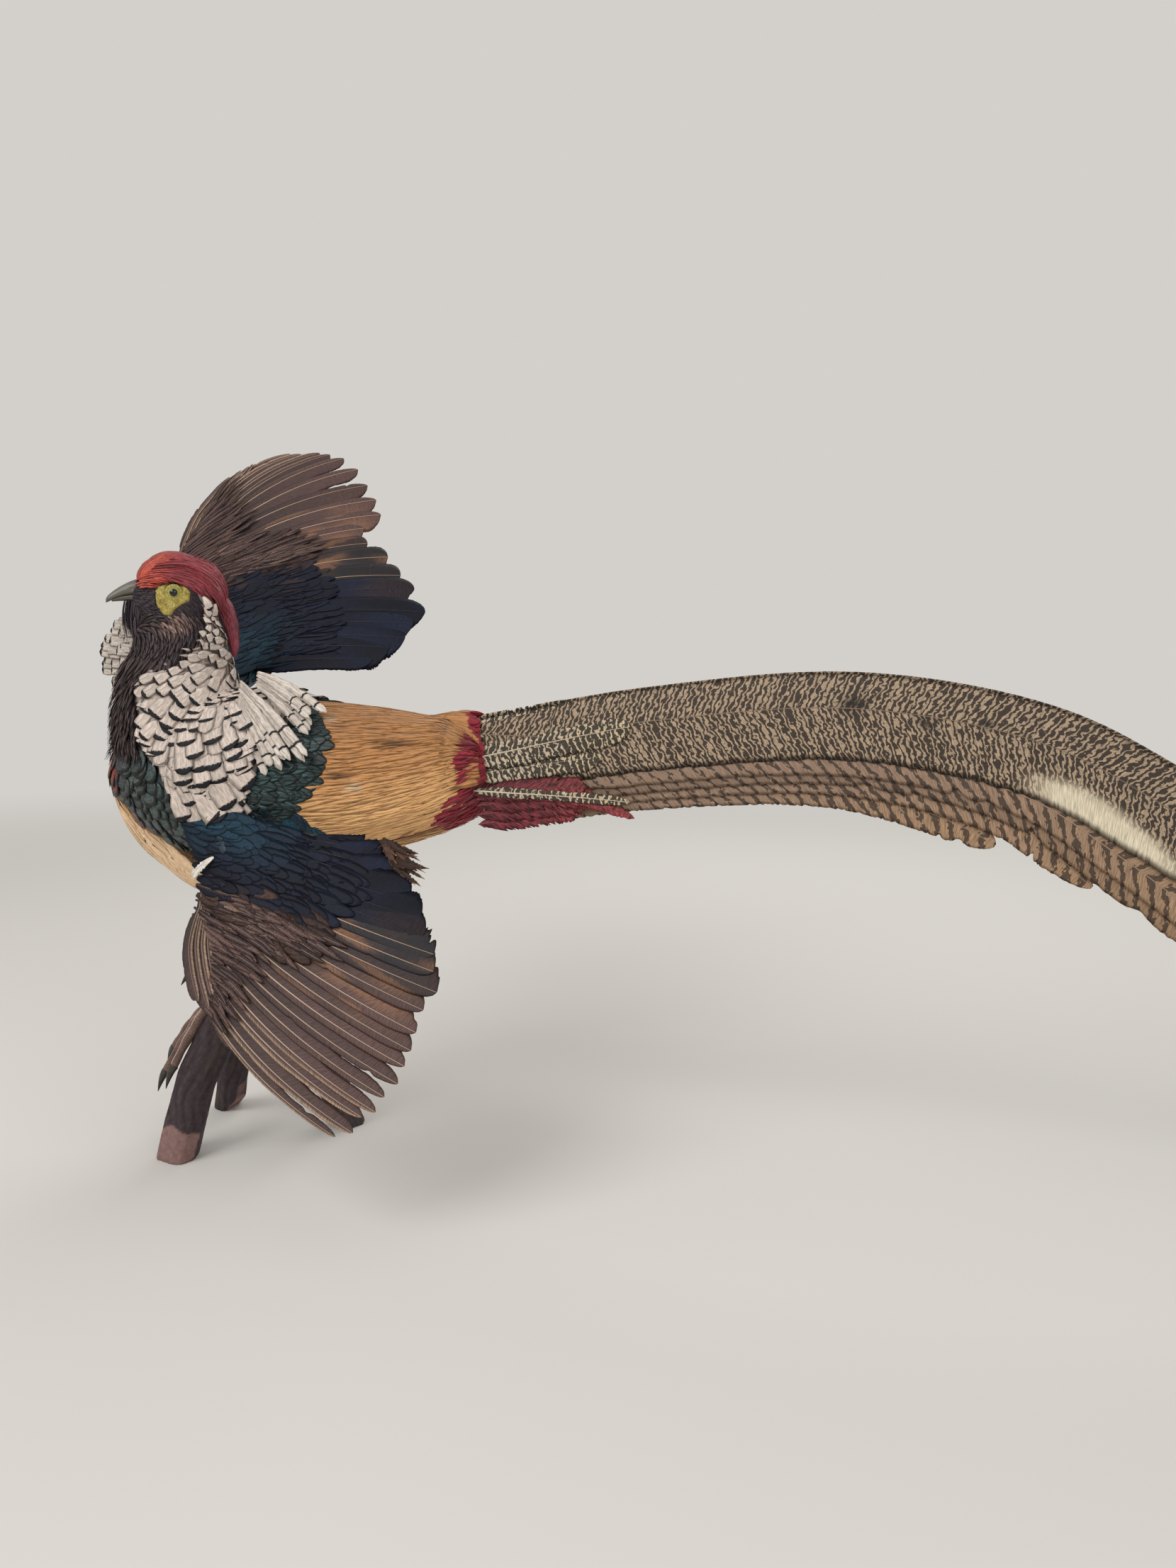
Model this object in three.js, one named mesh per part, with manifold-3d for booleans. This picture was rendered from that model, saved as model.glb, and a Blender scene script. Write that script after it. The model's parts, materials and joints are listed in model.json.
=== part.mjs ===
// A mounted cock pheasant, a golden and Lady Amherst's cross, on its forked branch.
// Millimetres, +Z up. The tail runs along +X, the bird's left side faces -Y, and the origin is
// the middle of the flat underside of the branch's front foot.
import * as THREE from 'three';
import { mergeVertices } from 'three/addons/utils/BufferGeometryUtils.js';
import Module from 'manifold-3d';

const wasm = await Module();
wasm.setup();

// Driving dimensions.
const FAR = 2000; // larger than the whole mount, for the blocks that cut it
const GAP = 0.3; // clearance between two pieces that touch
const VANE = 1.2; // thickness of a sheet of flight feathers
const BODY_LEAN = 35; // degrees that the back leans toward the bird's left
const HEAD_TURN = 35; // degrees that the head turns toward the bird's left
const HEAD_CENTRE = [-23.6, 51, 373.6]; // midway between the eyes
const EYE_RADIUS = 5.2;
const EYE_SIDE = 12.6; // from the middle of the head to the middle of an eye
const BILL_REACH = 43; // from the eyes to the tip of the bill

const vec = (p) => new THREE.Vector3(...p);
const radians = THREE.MathUtils.degToRad;
const mix = THREE.MathUtils.lerp;
const clamp = THREE.MathUtils.clamp;

const backward = new THREE.Vector3(1, 0, 0);
const upward = new THREE.Vector3(0, 0, 1);
const dorsal = new THREE.Vector3(0, -Math.sin(radians(BODY_LEAN)), Math.cos(radians(BODY_LEAN)));

// Materials.
const matt = (color, roughness = 0.85) =>
  new THREE.MeshStandardMaterial({ color, roughness, metalness: 0 });
const paint = {
  crest: matt('#a63a3f', 0.6),
  dark: matt('#3a2e30'),
  bill: matt('#6e6a5d', 0.45),
  eye: matt('#16120c', 0.1),
  cape: matt('#c9bdb5'),
  green: matt('#2f4a4a', 0.5),
  rump: matt('#c8914a', 0.6),
  red: matt('#8f2535', 0.6),
  blue: matt('#1d2433', 0.5),
  primary: matt('#5a4543'),
  secondary: matt('#8c6243'),
  tail: matt('#b9a184'),
  outerTail: matt('#8f7560'),
  thigh: matt('#a5532f'),
  leg: matt('#8a7a52', 0.5),
  bark: matt('#4a4242', 0.9),
};

// Solids.
function weld(geometry) {
  const bare = geometry.clone();
  bare.deleteAttribute('normal');
  bare.deleteAttribute('uv');
  return mergeVertices(bare, 1e-4);
}

function solid(geometry) {
  const { index, attributes } = weld(geometry);
  const vertProperties = new Float32Array(attributes.position.array);
  return new wasm.Manifold(new wasm.Mesh({
    numProp: 3,
    vertProperties,
    triVerts: new Uint32Array(index.array),
  }));
}

function surface(body) {
  const { vertProperties, triVerts } = body.getMesh();
  const geometry = new THREE.BufferGeometry();
  geometry.setAttribute('position', new THREE.BufferAttribute(new Float32Array(vertProperties), 3));
  geometry.setIndex(new THREE.BufferAttribute(new Uint32Array(triVerts), 1));
  geometry.computeVertexNormals();
  return geometry;
}

const cut = (geometry, ...tools) =>
  surface(tools.reduce((body, tool) => body.subtract(solid(tool)), solid(geometry)));
const join = (first, ...others) =>
  surface(others.reduce((body, other) => body.add(solid(other)), solid(first)));

// A geometry swollen by the gap between touching pieces.
function grown(geometry) {
  const swollen = weld(geometry);
  swollen.computeVertexNormals();
  const { position, normal } = swollen.attributes;
  for (let i = 0; i < position.count; i += 1) {
    position.setXYZ(
      i,
      position.getX(i) + GAP * normal.getX(i),
      position.getY(i) + GAP * normal.getY(i),
      position.getZ(i) + GAP * normal.getZ(i),
    );
  }
  return swollen;
}

// A box geometry whose corner of smallest x, y and z is at `low`.
function block(low, high) {
  const size = high.map((value, axis) => value - low[axis]);
  const box = new THREE.BoxGeometry(...size);
  return box.translate(...low.map((value, axis) => value + size[axis] / 2));
}

// Reverses a mirrored geometry's triangles, so that its faces point out again.
function faceOut(geometry) {
  const { index, attributes: { position } } = geometry;
  const corner = [0, 1, 2].map(() => new THREE.Vector3());
  let volume = 0;
  for (let i = 0; i < index.count; i += 3) {
    corner.forEach((point, k) => point.fromBufferAttribute(position, index.getX(i + k)));
    volume += corner[0].dot(corner[1].cross(corner[2]));
  }
  if (volume < 0) index.array.reverse();
  geometry.computeVertexNormals();
  return geometry;
}

// Moves every vertex of a welded geometry by `move`, which takes and returns a vector.
function reshape(geometry, move) {
  const shaped = weld(geometry);
  const { position } = shaped.attributes;
  const point = new THREE.Vector3();
  for (let i = 0; i < position.count; i += 1) {
    point.fromBufferAttribute(position, i);
    const moved = move(point);
    position.setXYZ(i, moved.x, moved.y, moved.z);
  }
  return faceOut(shaped);
}

// The section of a rounded body at t along its stations, each [x, y, z, depth, width], half
// sizes. The depth is measured along `front`, and the width across it.
function sections(stations, front) {
  const path = new THREE.CatmullRomCurve3(stations.map((s) => vec(s.slice(0, 3))));
  const sizes = new THREE.CatmullRomCurve3(stations.map((s) => new THREE.Vector3(s[3], s[4], 0)));
  return (t) => {
    const along = path.getTangent(t);
    const deep = front.clone().addScaledVector(along, -front.dot(along)).normalize();
    const wide = along.clone().cross(deep);
    const size = sizes.getPoint(t);
    return { centre: path.getPoint(t), along, deep, wide, depth: size.x, width: size.y };
  };
}

// A rounded body along its stations, with domed ends.
function loft(stations, front, { around = 20, rings = 14, grow = 0, dome = 0.1 } = {}) {
  const at = sections(stations, front);
  return reshape(new THREE.SphereGeometry(1, around, rings), (p) => {
    const reach = Math.hypot(p.x, p.z);
    const t = clamp((1 - p.y) / 2, 0, 1);
    const s = at(t);
    const end = Math.min(1, Math.min(t, 1 - t) / dome);
    const round = reach < 1e-6 ? 0 : Math.sqrt(1 - (1 - end) ** 2) / reach;
    s.centre.addScaledVector(s.along, grow * Math.sign(t - 0.5) * (1 - end));
    s.centre.addScaledVector(s.deep, -p.x * round * (s.depth + grow));
    return s.centre.addScaledVector(s.wide, -p.z * round * (s.width + grow));
  });
}

// A limb or toe with flat ends along its stations, each [x, y, z, radius], a little uneven
// round its girth.
function limb(stations, { around = 10, rings = 6, uneven = 0 } = {}) {
  const across = vec(stations[stations.length - 1]).sub(vec(stations[0]));
  const front = Math.abs(across.x) > Math.abs(across.y) ? new THREE.Vector3(0, 1, 0) : backward;
  const at = sections(stations.map((s) => [...s, s[3]]), front);
  return reshape(new THREE.CylinderGeometry(1, 1, 1, around, rings), (p) => {
    const t = 0.5 - p.y;
    const s = at(clamp(t, 0, 1));
    const turn = Math.atan2(p.z, p.x);
    const bump = 1 + uneven * (Math.sin(3 * turn + 9 * t) + 0.6 * Math.sin(2 * turn - 14 * t));
    s.centre.addScaledVector(s.deep, -p.x * s.depth * bump);
    return s.centre.addScaledVector(s.wide, -p.z * s.depth * bump);
  });
}

// A sheet bent over `place`, which gives the middle of the sheet at (across, along), both from
// 0 to 1. `thick` is its thickness there, laid off along `normal`.
function sheet(place, normal, { across, along, thick = () => VANE }) {
  return reshape(new THREE.BoxGeometry(1, 1, 1, across, along, 1), (p) => {
    const a = p.x + 0.5;
    const b = p.y + 0.5;
    return place(a, b).addScaledVector(normal(a, b), p.z * thick(a, b));
  });
}

const group = new THREE.Group();

function add(name, geometry, material) {
  const mesh = new THREE.Mesh(geometry, material);
  mesh.name = name;
  group.add(mesh);
}

// Trunk, neck and head.
const turned = new THREE.Vector3(-Math.cos(radians(HEAD_TURN)), -Math.sin(radians(HEAD_TURN)), 0);
const leftward = upward.clone().cross(turned);

// The head's own frame: reach toward the bill, rise up, side toward the bird's left.
const head = (reach, rise, side = 0) =>
  vec(HEAD_CENTRE).addScaledVector(turned, reach).addScaledVector(upward, rise)
    .addScaledVector(leftward, side);
const headStation = ([reach, rise, depth, width]) => [...head(reach, rise).toArray(), depth, width];

// Stations of the trunk, each [x, y, z, half depth from back to breast, half width].
const TRUNK = [
  [-70, 40, 264, 14, 16],
  [-52, 45, 258, 37, 37],
  [-16, 56, 248, 57, 53],
  [34, 68, 243, 65, 58],
  [90, 77, 247, 59, 52],
  [145, 83, 252, 46, 40],
  [192, 86, 262, 36, 24],
];
// The rest are in the head's frame, each [reach, rise, half depth, half width].
const NECK = [
  [-5, -124, 48, 44],
  [0, -92, 45, 41],
  [1, -64, 40, 34],
  [-2, -44, 35, 28],
  [0, -26, 29, 22],
  [1, -10, 20, 14],
];
const SKULL = [
  [-29, -8, 12, 9],
  [-22, -6, 23, 14],
  [-6, -4, 26, 17],
  [8, -4, 24, 15.5],
  [19, -4, 17, 11],
  [29, -4, 9, 6.5],
];
const UPPER_BILL = [
  [20, 3, 7, 6],
  [29, 0.4, 5.1, 4.4],
  [36, -2.8, 3.6, 2.9],
  [BILL_REACH - 0.5, -7, 1.2, 1],
];
const LOWER_BILL = [
  [20, -6, 3.4, 5],
  [29, -7, 2.3, 3.5],
  [37, -8.2, 1.3, 1.7],
];
// The crest of red hackles covers the crown and the nape, and the cape of white feathers
// hangs from the cheeks and the nape over the shoulders. These are the bodies that bound them.
const CREST_BOUND = [
  [29, 14, 9, 8],
  [14, 24, 14, 13],
  [-8, 26, 17, 15],
  [-26, 14, 18, 17],
  [-37, -8, 17, 17],
  [-41, -28, 15, 15],
  [-42, -50, 9, 11],
];
const CAPE_BOUND = [
  [-30, -6, 12, 26],
  [-18, -28, 28, 40],
  [-12, -62, 48, 60],
  [-34, -100, 70, 84],
  [-48, -142, 54, 64],
];
const CREST_DEPTH = 5; // how far each coat stands off the flesh
const CAPE_DEPTH = 4.5;

const trunkSolid = (grow = 0) => loft(TRUNK, dorsal, { around: 16, rings: 12, grow });
const headLoft = (stations, front, options) => loft(stations.map(headStation), front, options);
const neckSolid = (grow = 0) => headLoft(NECK, turned, { around: 16, rings: 8, grow });
const skullSolid = (grow = 0) => headLoft(SKULL, upward, { around: 14, rings: 10, grow, dome: 0.16 });
const billSolid = (stations, grow = 0) =>
  headLoft(stations, upward, { around: 8, rings: 7, grow, dome: 0.05 });
const eyeSolid = (side, grow = 0) =>
  new THREE.SphereGeometry(EYE_RADIUS + grow, 11, 7).translate(...head(0, 0, side * EYE_SIDE).toArray());
const crestBound = (grow = 0) =>
  headLoft(CREST_BOUND, leftward, { around: 12, rings: 10, grow, dome: 0.08 });
const capeBound = headLoft(CAPE_BOUND, turned, { around: 12, rings: 8, dome: 0.08 });

// The part of the coat within its limits, from the flesh out to `depth`.
function coat(depth, limits, flesh) {
  const outer = flesh.map((shape) => solid(shape(depth))).reduce((all, one) => all.add(one));
  const shell = flesh.reduce((body, shape) => body.subtract(solid(shape(GAP))), outer);
  return surface(shell.intersect(solid(limits)));
}

const MANTLE_HEM = 98; // how far back the mantle's rounded hem lies over the golden rump
const HEM_RADIUS = 110;
const hemSolid = (grow) => new THREE.SphereGeometry(HEM_RADIUS + grow, 20, 12)
  .scale(1, 1.2, 1).translate(MANTLE_HEM - HEM_RADIUS, 60, 262);
add('trunk', surface(solid(trunkSolid()).intersect(solid(hemSolid(0)))), paint.green);
add('rump', cut(trunkSolid(), hemSolid(GAP)), paint.rump);
add('neck', cut(neckSolid(), trunkSolid(GAP), skullSolid(GAP)), paint.dark);
add('head', cut(skullSolid(), eyeSolid(1, GAP), eyeSolid(-1, GAP)), paint.dark);
add('bill_upper', cut(billSolid(UPPER_BILL), skullSolid(GAP)), paint.bill);
add('bill_lower', cut(billSolid(LOWER_BILL), skullSolid(GAP), billSolid(UPPER_BILL, GAP)), paint.bill);
for (const [name, side] of [['eye_left', 1], ['eye_right', -1]]) {
  add(name, eyeSolid(side), paint.eye);
}
add('crest', coat(CREST_DEPTH, crestBound(), [skullSolid, neckSolid]), paint.crest);
const capeSolid = cut(
  coat(CAPE_DEPTH, capeBound, [neckSolid, trunkSolid, skullSolid]),
  crestBound(GAP),
);
add('cape', capeSolid, paint.cape);

// Wings.
// A wing lies in a plane through its shoulder. Points in the plane are [back, out]: back along
// +X and out from the body. Its feathers run from the `roots` curve to the `tips` curve.
const LEFT_WING = {
  name: 'left',
  shoulder: [-17, 24, 238],
  out: [0, -Math.cos(radians(60)), -Math.sin(radians(60))],
  lead: [[44, 124], [33, 94], [31, 66], [16, 36], [-10, 4]],
  roots: [[36, 104], [38, 74], [64, 52], [92, 26]],
  tips: [[164, 199], [188, 177], [198, 144], [199, 102], [190, 70], [164, 36]],
  alula: { root: [38, 74], tip: [76, 144], bow: -5, width: 19 },
  camber: 12,
  bow: 10,
};
const RIGHT_WING = {
  name: 'right',
  shoulder: [-17, 94, 296],
  out: [0, Math.cos(radians(47)), Math.sin(radians(47))],
  lead: [[-136, 192], [-134, 158], [-108, 126], [-66, 70], [-30, 14]],
  roots: [[-126, 182], [-116, 150], [-62, 100], [-20, 34]],
  tips: [[-84, 288], [-30, 280], [30, 216], [60, 154], [112, 84], [86, 42]],
  alula: { root: [-130, 164], tip: [-104, 262], bow: -5, width: 18 },
  camber: 12,
  bow: 8,
};
const PRIMARIES = 10; // feathers along the hand
const SECONDARIES = 3; // brown feathers along the forearm
const TERTIALS = 6; // broad blue-black feathers next to the body
const FEATHERS = PRIMARIES + SECONDARIES + TERTIALS;
const COVERT_END = 0.32; // how far the coverts cover the flight feathers
const STEPS = 3; // sheet divisions across one feather
const EDGE = 0.02; // share of a feather's width left clear between two groups
const ALULA_LIFT = 10; // how far the thumb's feathers stand off the wing, more at their tips

function curve2(points) {
  return new THREE.CatmullRomCurve3(points.map(([back, out]) => new THREE.Vector3(back, out, 0)));
}

function wingFrame({ shoulder, out, lead, roots, tips, camber, bow }) {
  const outward = vec(out);
  const above = backward.clone().cross(outward).normalize();
  if (above.z < 0) above.negate();
  const curves = { lead: curve2(lead), roots: curve2(roots), tips: curve2(tips) };
  const place = ([back, away], lift = 0) =>
    vec(shoulder).addScaledVector(backward, back - shoulder[0]).addScaledVector(outward, away)
      .addScaledVector(above, lift);
  // The point `u` of the way along feather `i`, with its shaft bowed and its vane arched.
  const feather = (i, u, lift = 0) => {
    const t = clamp(i / (FEATHERS - 1), 0, 1);
    const root = curves.roots.getPoint(t);
    const shaft = curves.tips.getPoint(t).sub(root);
    const side = new THREE.Vector3(-shaft.y, shaft.x, 0).normalize();
    const swell = 4 * u * (1 - u);
    const p = root.addScaledVector(shaft, u).addScaledVector(side, bow * swell * (1 - t));
    return place([p.x, p.y], lift + camber * swell * (1 - 0.6 * t));
  };
  return { above, place, feather, curves };
}

// A sheet of neighbouring feathers, first to last, whose tips are notched one from the next.
function vanes(frame, first, last, notch) {
  const count = last - first + 1;
  const from = first > 0 ? first - 0.5 + EDGE : first - 0.25;
  const to = last + 0.5 - EDGE;
  return sheet((a, b) => {
    const i = mix(from, to, a);
    const offTip = Math.abs(i - Math.round(i)) * 2;
    const tip = 1 - notch * offTip ** 3;
    return frame.feather(i, mix(COVERT_END + 0.004, tip, b));
  }, () => frame.above, { across: count * STEPS, along: 3 });
}

function wing(spec, body) {
  const frame = wingFrame(spec);
  const part = (piece) => `wing_${spec.name}_${piece}`;
  const secondStart = PRIMARIES;
  const thirdStart = PRIMARIES + SECONDARIES;
  add(part('primaries'), vanes(frame, 0, secondStart - 1, 0.08), paint.primary);
  add(part('secondaries'), vanes(frame, secondStart, thirdStart - 1, 0.06), paint.secondary);
  add(part('tertials'), cut(vanes(frame, thirdStart, FEATHERS - 1, 0.05), ...body), paint.blue);
  // The arm is thick along its leading edge and thins to the flight feathers.
  const arm = sheet((a, b) => {
    const lead = frame.curves.lead.getPoint(a);
    const front = frame.place([lead.x, lead.y]);
    return front.lerp(frame.feather(a * (FEATHERS - 1), COVERT_END), b);
  }, () => frame.above, {
    across: 10,
    along: 4,
    thick: (a, b) => mix(2, VANE + 8 * Math.sin(Math.PI * Math.min(1, b * 1.05)), 0.4 + 0.6 * a),
  });
  add(part('arm'), cut(arm, ...body), paint.blue);
  // The thumb's own feathers lie over the base of the outermost primaries.
  const { root, tip, bow, width } = spec.alula;
  const run = new THREE.Vector2(tip[0] - root[0], tip[1] - root[1]);
  const side = new THREE.Vector2(-run.y, run.x).normalize();
  const alula = sheet((a, b) => {
    const half = (a - 0.5) * width * Math.sqrt(1 - 0.9 * (2 * b - 1) ** 4);
    const shift = half - bow * 4 * b * (1 - b);
    const spot = [root[0] + run.x * b + side.x * shift, root[1] + run.y * b + side.y * shift];
    return frame.place(spot, ALULA_LIFT + 8 * b);
  }, () => frame.above, { across: 3, along: 6 });
  add(part('alula'), alula, paint.primary);
}

const bodyTools = [
  trunkSolid(GAP), neckSolid(GAP), skullSolid(GAP), crestBound(GAP), capeSolid,
];
wing(LEFT_WING, bodyTools);
wing(RIGHT_WING, bodyTools);

// Tail.
const TAIL_LINE = new THREE.CatmullRomCurve3([
  [176, 85, 289], [300, 84, 310], [428, 80, 319], [534, 75, 300], [600, 71, 266], [700, 64, 198],
  [800, 57, 125], [885, 52, 62],
].map(vec));
const TAIL_LEAN = 30; // degrees that the tail's top leans toward the bird's left
const TAIL_SLOPES = { left: 52, right: 86 }; // degrees that each side of the tail's roof slopes
const TAIL_VANE = 0.8; // thickness of a sheet of tail feathers

function tailFrame(t) {
  const along = TAIL_LINE.getTangent(t);
  const level = upward.clone().cross(along).normalize();
  const top = along.clone().cross(level).applyAxisAngle(along, radians(TAIL_LEAN));
  return { centre: TAIL_LINE.getPoint(t), top, left: along.cross(top) };
}

// The tail's feathers hang like a roof either side of the ridge. `side` is left or right, and
// `spread` is the distance down that side of the roof. Left of the ridge counts as positive.
function roof(t, spread, side, lift) {
  const { centre, top, left } = tailFrame(t);
  const slope = radians(TAIL_SLOPES[side]);
  const sign = side === 'left' ? 1 : -1;
  const down = left.clone().multiplyScalar(sign * Math.cos(slope)).addScaledVector(top, -Math.sin(slope));
  const normal = top.multiplyScalar(Math.cos(slope)).addScaledVector(left, sign * Math.sin(slope));
  const place = centre.addScaledVector(left, sign).addScaledVector(down, spread)
    .addScaledVector(normal, lift);
  return { place, normal };
}

// A sheet of tail feathers on one side, from `start` to `end` of the tail and between two
// spreads, narrowing to a point. `drop` is how far its tip hangs below its root.
function tailSheet(side, { start, end, inner, outer, lift, drop = 0, along, across = 3 }) {
  const half = (outer - inner) / 2;
  const at = (a, b) => {
    const taper = Math.max(0.05, Math.min(1, 3.4 * (1 - b)) ** 0.7);
    const middle = drop ? inner + half + drop * b ** 3 : inner + half * taper;
    return roof(mix(start, end, b), middle + (2 * a - 1) * half * taper, side, lift);
  };
  const shape = sheet((a, b) => at(a, b).place, (a, b) => at(a, b).normal, {
    across,
    along,
    thick: () => TAIL_VANE,
  });
  return cut(shape, trunkSolid(GAP));
}

// Each pair of sheets: the central pair, the outer feathers below it and the long red coverts
// over their roots.
const TAIL_SHEETS = {
  central: { start: 0.005, end: 1, outer: { left: 52, right: 30 }, inner: 0, lift: 2, along: 15 },
  outer: {
    start: 0.01, end: 0.76, outer: { left: 76, right: 66 }, inner: 38, lift: -3, drop: 24, along: 10,
  },
  coverts: {
    start: 0, end: 0.15, outer: { left: 76, right: 66 }, inner: 44, lift: 5, drop: 4, along: 5,
  },
};
const tailPaint = { central: paint.tail, outer: paint.outerTail, coverts: paint.red };
for (const [kind, spec] of Object.entries(TAIL_SHEETS)) {
  for (const side of ['left', 'right']) {
    const shape = tailSheet(side, { ...spec, outer: spec.outer[side] });
    add(`tail_${kind}_${side}`, shape, tailPaint[kind]);
  }
}

// Branch.
// Each limb of the branch is stations of [x, y, z, radius], from its cut end to the fork.
const FORK = [34, 34, 112, 14];
const SINK = -8; // the limbs start this low and are sawn off level at the floor
const LIMBS = {
  front: [[-4, 3, SINK, 14], [7, 11, 44, 13.5], [21, 22, 84, 14], FORK],
  back: [[-27, 96, SINK, 11], [-8, 78, 40, 11.5], [14, 56, 84, 12], FORK],
  hidden: [[78, 94, SINK, 11.5], [64, 76, 48, 11.5], [46, 54, 88, 12.5], FORK],
  stub: [[-24, 60, 104, 8], [6, 50, 110, 10], [34, 34, 106, 12]],
};
const floorBlock = block([-FAR, -FAR, -FAR], [FAR, FAR, 0]);
// Slanting saw cuts across the ends of the front and the back limb.
const frontSaw = block([-40, -40, -40], [40, 0, 40]).rotateX(radians(-10)).rotateZ(radians(-14))
  .translate(0, -7, 0);
const backSaw = block([0, -40, -40], [60, 40, 40]).rotateY(radians(45)).translate(-20, 93, 0);
const rough = (stations, grow = 0) =>
  limb(stations.map(([x, y, z, r]) => [x, y, z, r + grow]), { uneven: 0.035, rings: 5, around: 8 });
const branchWith = (grow) => join(...Object.values(LIMBS).map((stations) => rough(stations, grow)));
const branchSolid = cut(
  join(
    cut(rough(LIMBS.front), frontSaw), cut(rough(LIMBS.back), backSaw),
    rough(LIMBS.hidden), rough(LIMBS.stub),
  ),
  floorBlock,
);
add('branch', branchSolid, paint.bark);

// Legs.
// Each leg: where the thigh leaves the trunk, the hock, the ball of the foot and the tips of
// the toes, the front three first.
const LEGS = {
  left: {
    thigh: [26, 46, 196],
    hock: [58, 32, 152],
    ball: [18, 18, 102],
    toes: [[-12, 8, 56], [-1, 2, 62], [-15, 22, 68], [36, 8, 96]],
  },
  right: {
    thigh: [34, 92, 200],
    hock: [66, 84, 160],
    ball: [14, 54, 125.5],
    toes: [[-21, 59, 118], [-14, 44, 114], [-12, 74, 112], [36, 58, 124]],
  },
};
const TOE = 4; // radius at the ball of the foot
const CLAW = 10; // length of a claw
const CLAW_DROOP = 3;

function toeSolid(ball, tip, knuckle) {
  const start = vec(ball);
  const end = vec(tip);
  const rise = (t) =>
    start.clone().lerp(end, t).addScaledVector(upward, knuckle * Math.sin(Math.PI * t));
  const claw = end.clone().sub(start).setLength(CLAW).add(end).addScaledVector(upward, -CLAW_DROOP);
  return loft([
    [...start.toArray(), TOE, TOE],
    [...rise(0.35).toArray(), TOE * 0.92, TOE * 0.92],
    [...rise(0.7).toArray(), TOE * 0.8, TOE * 0.8],
    [...end.toArray(), TOE * 0.62, TOE * 0.62],
    [...claw.toArray(), 0.6, 0.6],
  ], upward, { around: 6, rings: 5, dome: 0.04 });
}

const radiiGrown = (stations, grow) => stations.map(([x, y, z, deep, wide]) => [
  x, y, z, deep + grow, wide + grow,
]);

for (const [name, { thigh, hock, ball, toes }] of Object.entries(LEGS)) {
  const between = (from, to, t) => vec(from).lerp(vec(to), t).toArray();
  const ankle = vec(ball).addScaledVector(upward, 2).toArray();
  const shankStations = [[...ankle, 4, 3.6], [...between(ball, hock, 0.5), 3.6, 3.2], [...hock, 4.6, 4.2]];
  const shankAt = (grow) =>
    loft(radiiGrown(shankStations, grow), backward, { around: 8, rings: 6, dome: 0.08 });
  const [spurX, spurY, spurZ] = between(ball, hock, 0.34);
  const spur = limb(
    [[spurX, spurY, spurZ, 2.2], [spurX + 9, spurY, spurZ - 6, 0.7]],
    { around: 6, rings: 1 },
  );
  const toeSolids = toes.map((tip, i) => toeSolid(ball, tip, i < 3 ? 3 : 2));
  const pad = new THREE.SphereGeometry(TOE * 1.4, 7, 5).translate(...ball);
  add(`foot_${name}`, cut(join(pad, ...toeSolids), branchWith(GAP)), paint.leg);
  const shank = cut(join(shankAt(0), spur), ...[pad, ...toeSolids].map(grown), branchWith(GAP));
  add(`shank_${name}`, shank, paint.leg);
  const thighSolid = loft([
    [...thigh, 26, 19],
    [...between(thigh, hock, 0.5), 20, 15],
    [...between(thigh, hock, 0.86), 10, 8],
    [...hock, 6, 5.4],
  ], backward, { around: 12, rings: 6 });
  add(`thigh_${name}`, cut(thighSolid, trunkSolid(GAP), shankAt(GAP)), paint.thigh);
}

export default group;
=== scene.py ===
import json
import math
import bpy
import numpy as np
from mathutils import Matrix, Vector, kdtree
from mathutils.bvhtree import BVHTree

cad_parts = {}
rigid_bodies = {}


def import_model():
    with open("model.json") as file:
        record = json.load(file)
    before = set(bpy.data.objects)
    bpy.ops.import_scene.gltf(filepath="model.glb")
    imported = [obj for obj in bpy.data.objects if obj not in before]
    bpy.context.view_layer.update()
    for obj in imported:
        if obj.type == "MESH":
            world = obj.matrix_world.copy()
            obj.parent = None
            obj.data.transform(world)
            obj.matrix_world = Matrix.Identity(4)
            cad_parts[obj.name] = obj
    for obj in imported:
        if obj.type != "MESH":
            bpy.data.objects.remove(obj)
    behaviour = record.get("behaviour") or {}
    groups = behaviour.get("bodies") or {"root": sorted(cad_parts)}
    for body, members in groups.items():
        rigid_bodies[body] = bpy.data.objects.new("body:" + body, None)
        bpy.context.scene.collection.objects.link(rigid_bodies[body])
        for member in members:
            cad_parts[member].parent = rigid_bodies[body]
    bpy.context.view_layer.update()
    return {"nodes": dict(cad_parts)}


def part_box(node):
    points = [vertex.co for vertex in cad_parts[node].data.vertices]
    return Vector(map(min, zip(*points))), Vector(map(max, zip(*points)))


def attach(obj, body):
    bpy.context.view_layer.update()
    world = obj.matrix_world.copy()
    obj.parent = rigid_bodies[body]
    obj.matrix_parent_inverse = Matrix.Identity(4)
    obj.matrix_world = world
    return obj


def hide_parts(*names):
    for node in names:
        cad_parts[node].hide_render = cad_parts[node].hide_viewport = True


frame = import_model()
bpy.ops.object.select_all(action="DESELECT")
mm = 0.001
random = np.random.default_rng(11)

# The camera stands at the bird's left, a little behind its shoulder.
cameraPlace = {"at": (0.4883, -0.6257, 0.326), "pitch": 84.1, "turn": 18.0, "lens": 27.06}
bpy.ops.object.camera_add(
    location=cameraPlace["at"],
    rotation=(math.radians(cameraPlace["pitch"]), 0, math.radians(cameraPlace["turn"])),
)
camera = bpy.context.object
camera.data.sensor_fit = "VERTICAL"
camera.data.sensor_height = 36
camera.data.lens = cameraPlace["lens"]
camera.data.clip_start = 0.01
bpy.context.scene.camera = camera


# Colours and materials.

def linear(code):
    parts = [int(code[i:i + 2], 16) / 255 for i in (1, 3, 5)]
    return tuple(p / 12.92 if p <= 0.04045 else ((p + 0.055) / 1.055) ** 2.4 for p in parts) + (1.0,)


def shade(code):  # the three parts of a colour that feathers carry
    return np.array(linear(code)[:3])


def mixed(a, b, amount):
    return a + (b - a) * np.asarray(amount)[..., None]


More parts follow.
